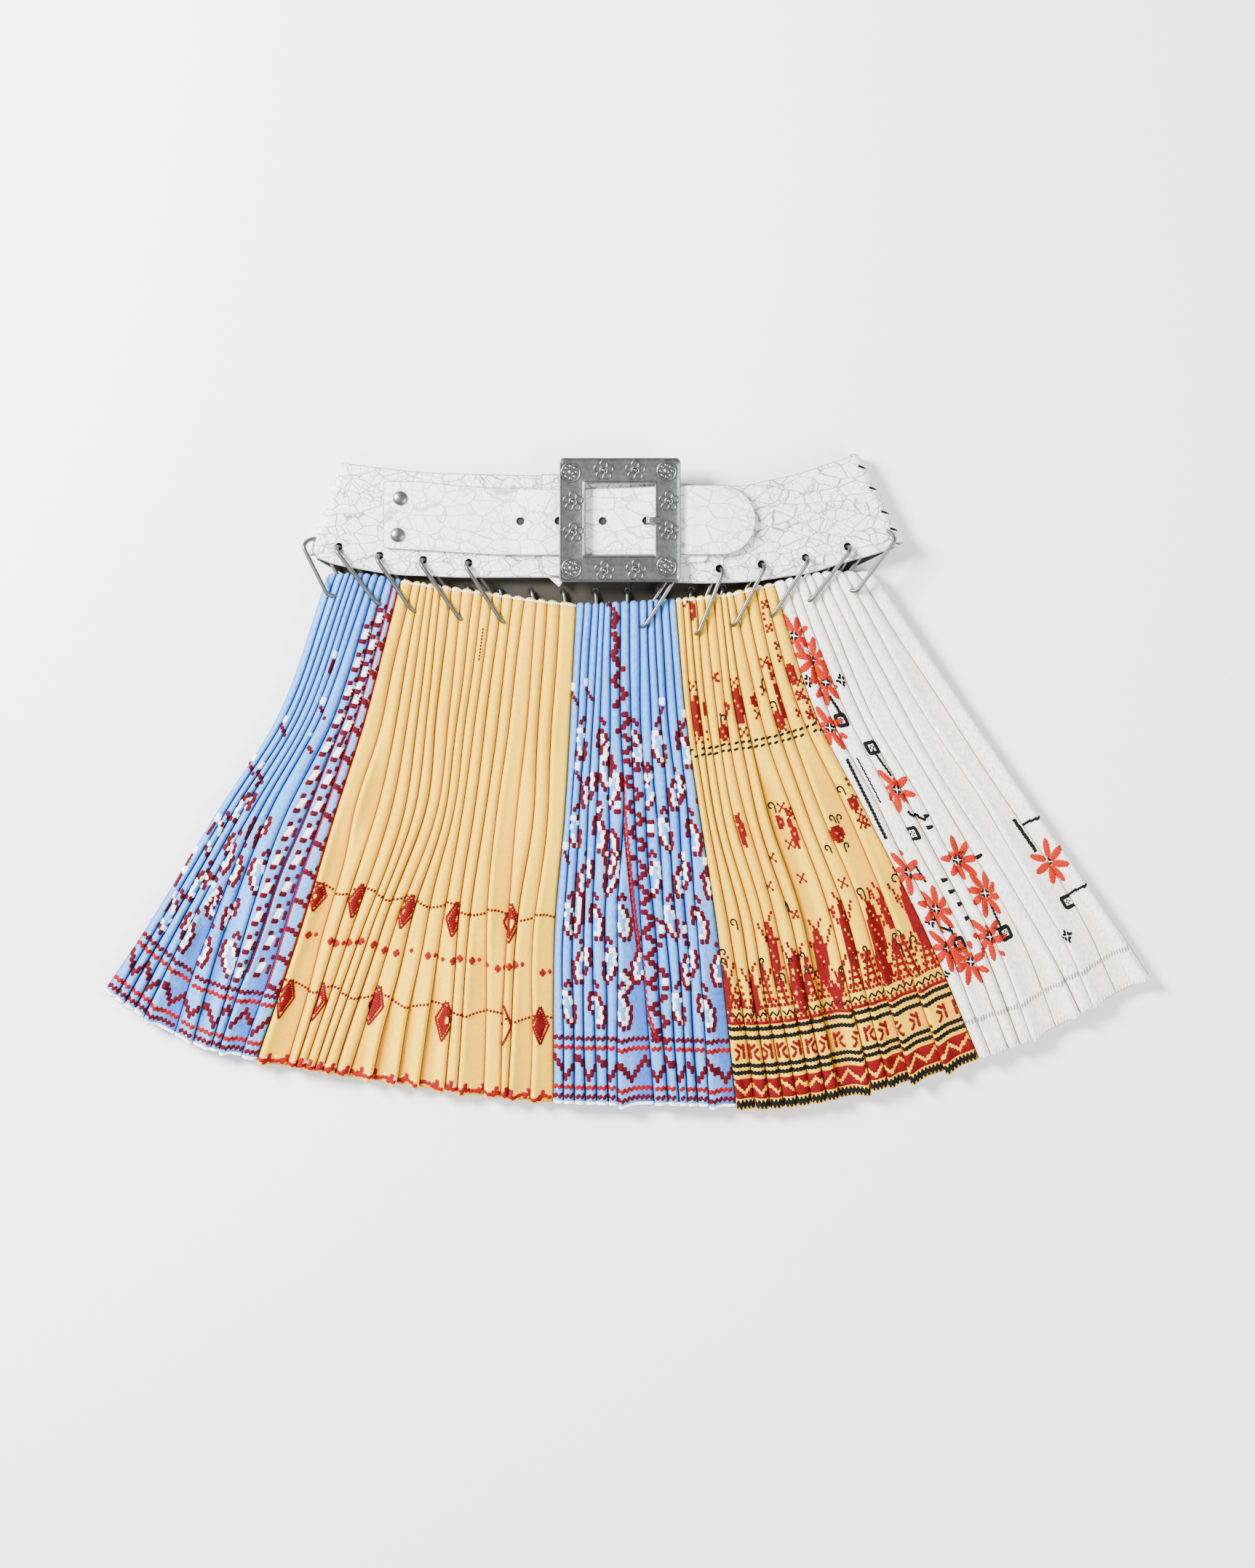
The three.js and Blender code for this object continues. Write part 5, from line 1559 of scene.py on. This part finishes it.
def make_tab():
    outer, inner = rounded_outline(*TAB_BOX, 4), rounded_outline(*TAB_INNER, 3.6)
    piece = plate("buckle_tab_leather", [inner, outer, outer, inner], TAB_LEVELS, STRAP_LEATHER)
    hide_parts("buckle_tab")


SHADE_RADIUS, SHADE_SIDES = 2.8, 24


def make_hole_shade():
    """Painted shade: dark discs under the strap's holes, standing for the shadow seen through them."""
    turn = np.linspace(0, TURN, SHADE_SIDES, endpoint=False)
    points, faces = [], []
    for k, (x, y) in enumerate(STRAP_HOLES):
        z = float(np.interp(x, *STRAP_LEVEL)) + 0.5
        points += [(x + SHADE_RADIUS * math.cos(a), y + SHADE_RADIUS * math.sin(a), z) for a in turn]
        faces.append(tuple(range(k * SHADE_SIDES, (k + 1) * SHADE_SIDES)))
    piece = make_piece("strap_hole_lining", points, faces, BELT_INSIDE_SHADE, is_smooth=False)


make_strap()
make_tab()
make_hole_shade()
print("strap", round(STRAP_END + STRAP_TIP - STRAP_START), "mm long")

# %% [markdown]
# ## The buckle
# The buckle is a cast square with a raised rim inside and out and flowers between them. The frame is one
# profile carried round a rounded square. Each flower is a ring of small wire loops round a bead, and the
# corners have a plain rosette.

# %% Buckle frame
BUCKLE = (-48.75, 34.25, 137.3, 222.3)
OPENING = (-30.75, 16.75, 155.7, 204.7)
BUCKLE_Z = 23.1
RIM_PROFILE = [  # share from the outer edge to the inner one, and height
    (0.0, 0.0), (0.0, 2.8), (0.01, 3.5), (0.03, 3.8), (0.055, 3.8), (0.075, 3.4), (0.09, 2.9), (0.11, 2.8),
    (0.89, 2.8), (0.91, 2.9), (0.925, 3.4), (0.945, 3.8), (0.97, 3.8), (0.99, 3.5), (1.0, 2.8), (1.0, 0.0),
]


def join_shapes(name, parts, material):
    points, faces, first = [], [], 0
    for some_points, some_faces in parts:
        points.append(np.asarray(some_points, float))
        faces.extend(tuple(int(i) + first for i in face) for face in some_faces)
        first += len(some_points)
    return make_piece(name, np.vstack(points), faces, material)


def buckle_frame():
    outer, inner = rounded_outline(*BUCKLE, 3.2, 8, 14), rounded_outline(*OPENING, 1.6, 8, 14)
    count = len(outer)
    points = np.vstack([
        np.column_stack([mix(outer, inner, share), np.full(count, BUCKLE_Z + z)]) for share, z in RIM_PROFILE
    ])
    rings, faces = len(RIM_PROFILE), []
    for k in range(rings):
        for s in range(count):
            t, n = (s + 1) % count, (k + 1) % rings
            faces.append((k * count + s, k * count + t, n * count + t, n * count + s))
    return points, faces


def dome(x, y, z, radius, height, sides=16, rings=5):
    """Points and faces of a bead that lies on z."""
    turn = np.linspace(0, TURN, sides, endpoint=False)
    points = []
    for k in range(rings):
        rise = math.pi / 2 * k / rings
        reach = radius * math.cos(rise)
        level = z + height * math.sin(rise)
        points += [(x + reach * math.cos(a), y + reach * math.sin(a), level) for a in turn]
    points.append((x, y, z + height))
    faces = []
    for k in range(rings - 1):
        for s in range(sides):
            t = (s + 1) % sides
            faces.append((k * sides + s, k * sides + t, (k + 1) * sides + t, (k + 1) * sides + s))
    top = rings * sides
    faces += [((rings - 1) * sides + s, (rings - 1) * sides + (s + 1) % sides, top) for s in range(sides)]
    return np.array(points), faces


def wire_circle(x, y, z, radius, wire, steps=20, sides=8):
    turn = np.linspace(0, TURN, steps, endpoint=False)
    path = np.column_stack([x + radius * np.cos(turn), y + radius * np.sin(turn), np.full(steps, z)])
    return sweep(path, wire, sides)


FLOWERS = [
    (-18.3, 213.7), (3.3, 213.7), (-39.3, 192.3), (-39.3, 171.3), (26.3, 192.7), (26.3, 172.2),
    (-17.8, 145.2),
    (3.8, 145.7),
]
CORNERS = [(-40.8, 212.3), (24.8, 213.2), (-40.3, 146.7), (24.8, 148.2)]
FIELD_Z = BUCKLE_Z + 2.8
PETALS, PETAL_REACH, PETAL_RADIUS, PETAL_WIRE = 5, 4.3, 2.35, 0.5
BEADS, BEAD_REACH = 8, 4.1


def make_buckle():
    parts = [buckle_frame()]
    for x, y in FLOWERS:
        for k in range(PETALS):
            turn = TURN * k / PETALS + math.pi / 2
            petal = (x + PETAL_REACH * math.cos(turn), y + PETAL_REACH * math.sin(turn))
            parts.append(wire_circle(*petal, FIELD_Z + 0.3, PETAL_RADIUS, PETAL_WIRE, 20, 6))
        parts.append(wire_circle(x, y, FIELD_Z + 0.5, 2.5, PETAL_WIRE, 20, 6))
        parts.append(dome(x, y, FIELD_Z, 1.6, 1.4))
    for x, y in CORNERS:
        parts.append(wire_circle(x, y, FIELD_Z + 0.3, 6.4, 0.6, 40))
        for k in range(BEADS):
            turn = TURN * k / BEADS
            bead = (x + BEAD_REACH * math.cos(turn), y + BEAD_REACH * math.sin(turn))
            parts.append(dome(*bead, FIELD_Z, 1.5, 0.8, 12, 3))
        parts.append(dome(x, y, FIELD_Z, 2.4, 1.3))
    piece = join_shapes("buckle_casting", parts, BUCKLE_METAL)
    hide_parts("buckle")


make_buckle()

# %% Prong and rivets
RIVETS = {"rivet_upper": (-157.8, 195.2), "rivet_lower": (-159.5, 170.0)}
RIVET_Z = 17.75


BAR_TOP = BUCKLE_Z + 4.3
PRONG_SECTIONS = [  # X, Z, half the width, from the hole up and over the bar
    (10.8, 20.0, 2.0), (10.8, 25.2, 2.1), (11.4, 26.9, 2.2), (13.0, BAR_TOP + 0.5, 2.2),
    (15.5, BAR_TOP + 0.8, 2.3), (18.5, BAR_TOP + 0.8, 2.3), (20.3, BAR_TOP + 0.8, 2.2),
]
PRONG_OUTLINE = [(-1, -0.35), (-0.8, 0.5), (0.8, 0.5), (1, -0.35)]  # share of the half width, and rise


def make_prong():
    points = np.array([
        (x, HOLE_Y + half * share, z + rise)
        for x, z, half in PRONG_SECTIONS
        for share, rise in PRONG_OUTLINE
    ])
    faces = []
    for k in range(len(PRONG_SECTIONS) - 1):
        for s in range(4):
            t = (s + 1) % 4
            faces.append((k * 4 + s, k * 4 + t, (k + 1) * 4 + t, (k + 1) * 4 + s))
    faces += [(3, 2, 1, 0), tuple((len(PRONG_SECTIONS) - 1) * 4 + s for s in range(4))]
    piece = make_piece("prong_tongue", points, faces, BUCKLE_METAL, is_smooth=False)
    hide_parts("prong")


RIVET_SIDES = 36
RIVET_PROFILE = [  # radius and height
    (1.5, 14.0), (1.5, RIVET_Z), (4.7, RIVET_Z), (5.0, RIVET_Z + 0.35), (4.95, RIVET_Z + 0.75),
    (4.4, RIVET_Z + 1.25), (3.3, RIVET_Z + 1.8), (1.8, RIVET_Z + 2.2), (0.02, RIVET_Z + 2.35),
]


def make_rivet(name, x, y):
    turn = np.linspace(0, TURN, RIVET_SIDES, endpoint=False)
    points = [(x + r * math.cos(a), y + r * math.sin(a), z) for r, z in RIVET_PROFILE for a in turn]
    faces = []
    for k in range(len(RIVET_PROFILE) - 1):
        low, high = k * RIVET_SIDES, (k + 1) * RIVET_SIDES
        for s in range(RIVET_SIDES):
            t = (s + 1) % RIVET_SIDES
            faces.append((low + s, low + t, high + t, high + s))
    top = (len(RIVET_PROFILE) - 1) * RIVET_SIDES
    faces += [tuple(range(RIVET_SIDES))[::-1], tuple(top + s for s in range(RIVET_SIDES))]
    piece = make_piece(name + "_cap", points, faces, BUCKLE_METAL)
    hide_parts(name)


def make_end_tip():
    """The belt's left half ends in a point that peeps out under the buckle."""
    outline = np.array([(-58, 143), (-45, 143), (-47.5, 136.6), (-49, 134.8), (-50.5, 136.0), (-56, 141)])
    piece = plate("belt_end_tip", [outline[::-1]] * 2, [13.4, 15.3], BELT_LEATHER)


def make_keeper_tab():
    """A short tab under the buckle's upper left corner, sewn down with two stitches."""
    outline = np.array([(-58.5, 203), (-47, 203), (-48.6, 212.5), (-57.6, 213)])
    piece = plate("keeper_tab", [outline] * 2, [15.6, 17.0], STRAP_LEATHER)
    arch = [(-56.5, 16.9), (-55.2, 17.4), (-53, 17.4), (-51.8, 16.9)]  # X and Z of one stitch
    sewn = [sweep([(x, y, z) for x, z in arch], 0.35, 8, is_closed=False) for y in (205.4, 210.4)]
    join_shapes("keeper_tab_thread", sewn, THREADS["grey"])


FOLD_STITCHES = (0.17, 0.36, 0.63, 0.87)  # places up the right fold


def make_fold_stitches():
    (low_x, low_y), (high_x, high_y) = RIGHT_FOLD
    turn = np.radians(np.linspace(12, 84, 9))
    reach = BELT_FOLD_RADIUS + 0.3
    shapes = []
    for share in FOLD_STITCHES:
        x, y = mix(low_x, high_x, share) - BELT_FOLD_RADIUS, mix(low_y, high_y, share)
        path = np.column_stack([
            x + reach * np.sin(turn), y - 2.0 * np.sin(turn), BELT_FOLD_Z + reach * np.cos(turn),
        ])
        shapes.append(sweep(path, 0.85, 8, is_closed=False))
    join_shapes("fold_stitches", shapes, THREADS["black"])


make_end_tip()
make_keeper_tab()
make_fold_stitches()
make_prong()
for rivet_name, (rivet_x, rivet_y) in RIVETS.items():
    make_rivet(rivet_name, rivet_x, rivet_y)
print("buckle, prong and", len(RIVETS), "rivets")

# %% [markdown]
# ## What the cloth is
# Each cloth prints how many pleats it has and the area of its shown face when its mesh is made. The layers
# hidden in the pleats come on top of that area when a piece is cut.

# %% [markdown]
# ## Floor, light and camera
# The skirt lies on a pale floor and is seen from straight above. A wide soft light from the upper left
# models the folds, and a second fills them from the right.

# %% Stage
FLOOR_HALF, FLOOR_Z = 4.0, -0.0004
FLOOR_TONES = ((0.93, 0.93, 0.93, 1), (0.95, 0.95, 0.95, 1))
LIGHTS = [  # name, place, size, power
    ("window", (-1.5, 0.8, 1.35), 0.8, 225),
    ("fill", (1.6, -0.7, 1.7), 1.4, 60),
]
ROOM_STRENGTH = 0.9


def make_floor():
    recipe = Recipe("pale_floor", roughness=0.9, specular=0.1)
    recipe.feed(recipe.shader.inputs["Base Color"], recipe.blend(recipe.noise(3.0), *FLOOR_TONES))
    mesh = bpy.data.meshes.new("floor")
    corners = [(x * FLOOR_HALF, y * FLOOR_HALF, FLOOR_Z) for x, y in ((-1, -1), (1, -1), (1, 1), (-1, 1))]
    mesh.from_pydata(corners, [], [(0, 1, 2, 3)])
    mesh.materials.append(recipe.material)
    floor = bpy.data.objects.new("floor", mesh)
    bpy.context.scene.collection.objects.link(floor)


def soft_light(name, place, size, power):
    data = bpy.data.lights.new(name, "AREA")
    data.shape, data.size, data.energy = "DISK", size, power
    light = bpy.data.objects.new(name, data)
    light.location = place
    direction = -np.array(place)
    yaw = math.atan2(direction[1], direction[0])
    tilt = math.acos(-direction[2] / np.linalg.norm(direction))
    light.rotation_euler = (tilt, 0, yaw - math.pi / 2)
    bpy.context.scene.collection.objects.link(light)


make_floor()
for light_row in LIGHTS:
    soft_light(*light_row)
world = bpy.data.worlds.new("pale_room")
world.use_nodes = True
world.node_tree.nodes["Background"].inputs["Color"].default_value = (1.0, 1.0, 1.0, 1.0)
world.node_tree.nodes["Background"].inputs["Strength"].default_value = ROOM_STRENGTH
bpy.context.scene.world = world

# %% Camera
LENS, SENSOR = 85, 36
CAMERA_PLACE = (0.0005, -0.00155, 2.545 + 0.012)
lens = bpy.data.cameras.new("camera")
lens.lens, lens.sensor_width = LENS, SENSOR
camera = bpy.data.objects.new("camera", lens)
camera.location = CAMERA_PLACE
bpy.context.scene.collection.objects.link(camera)
bpy.context.scene.camera = camera
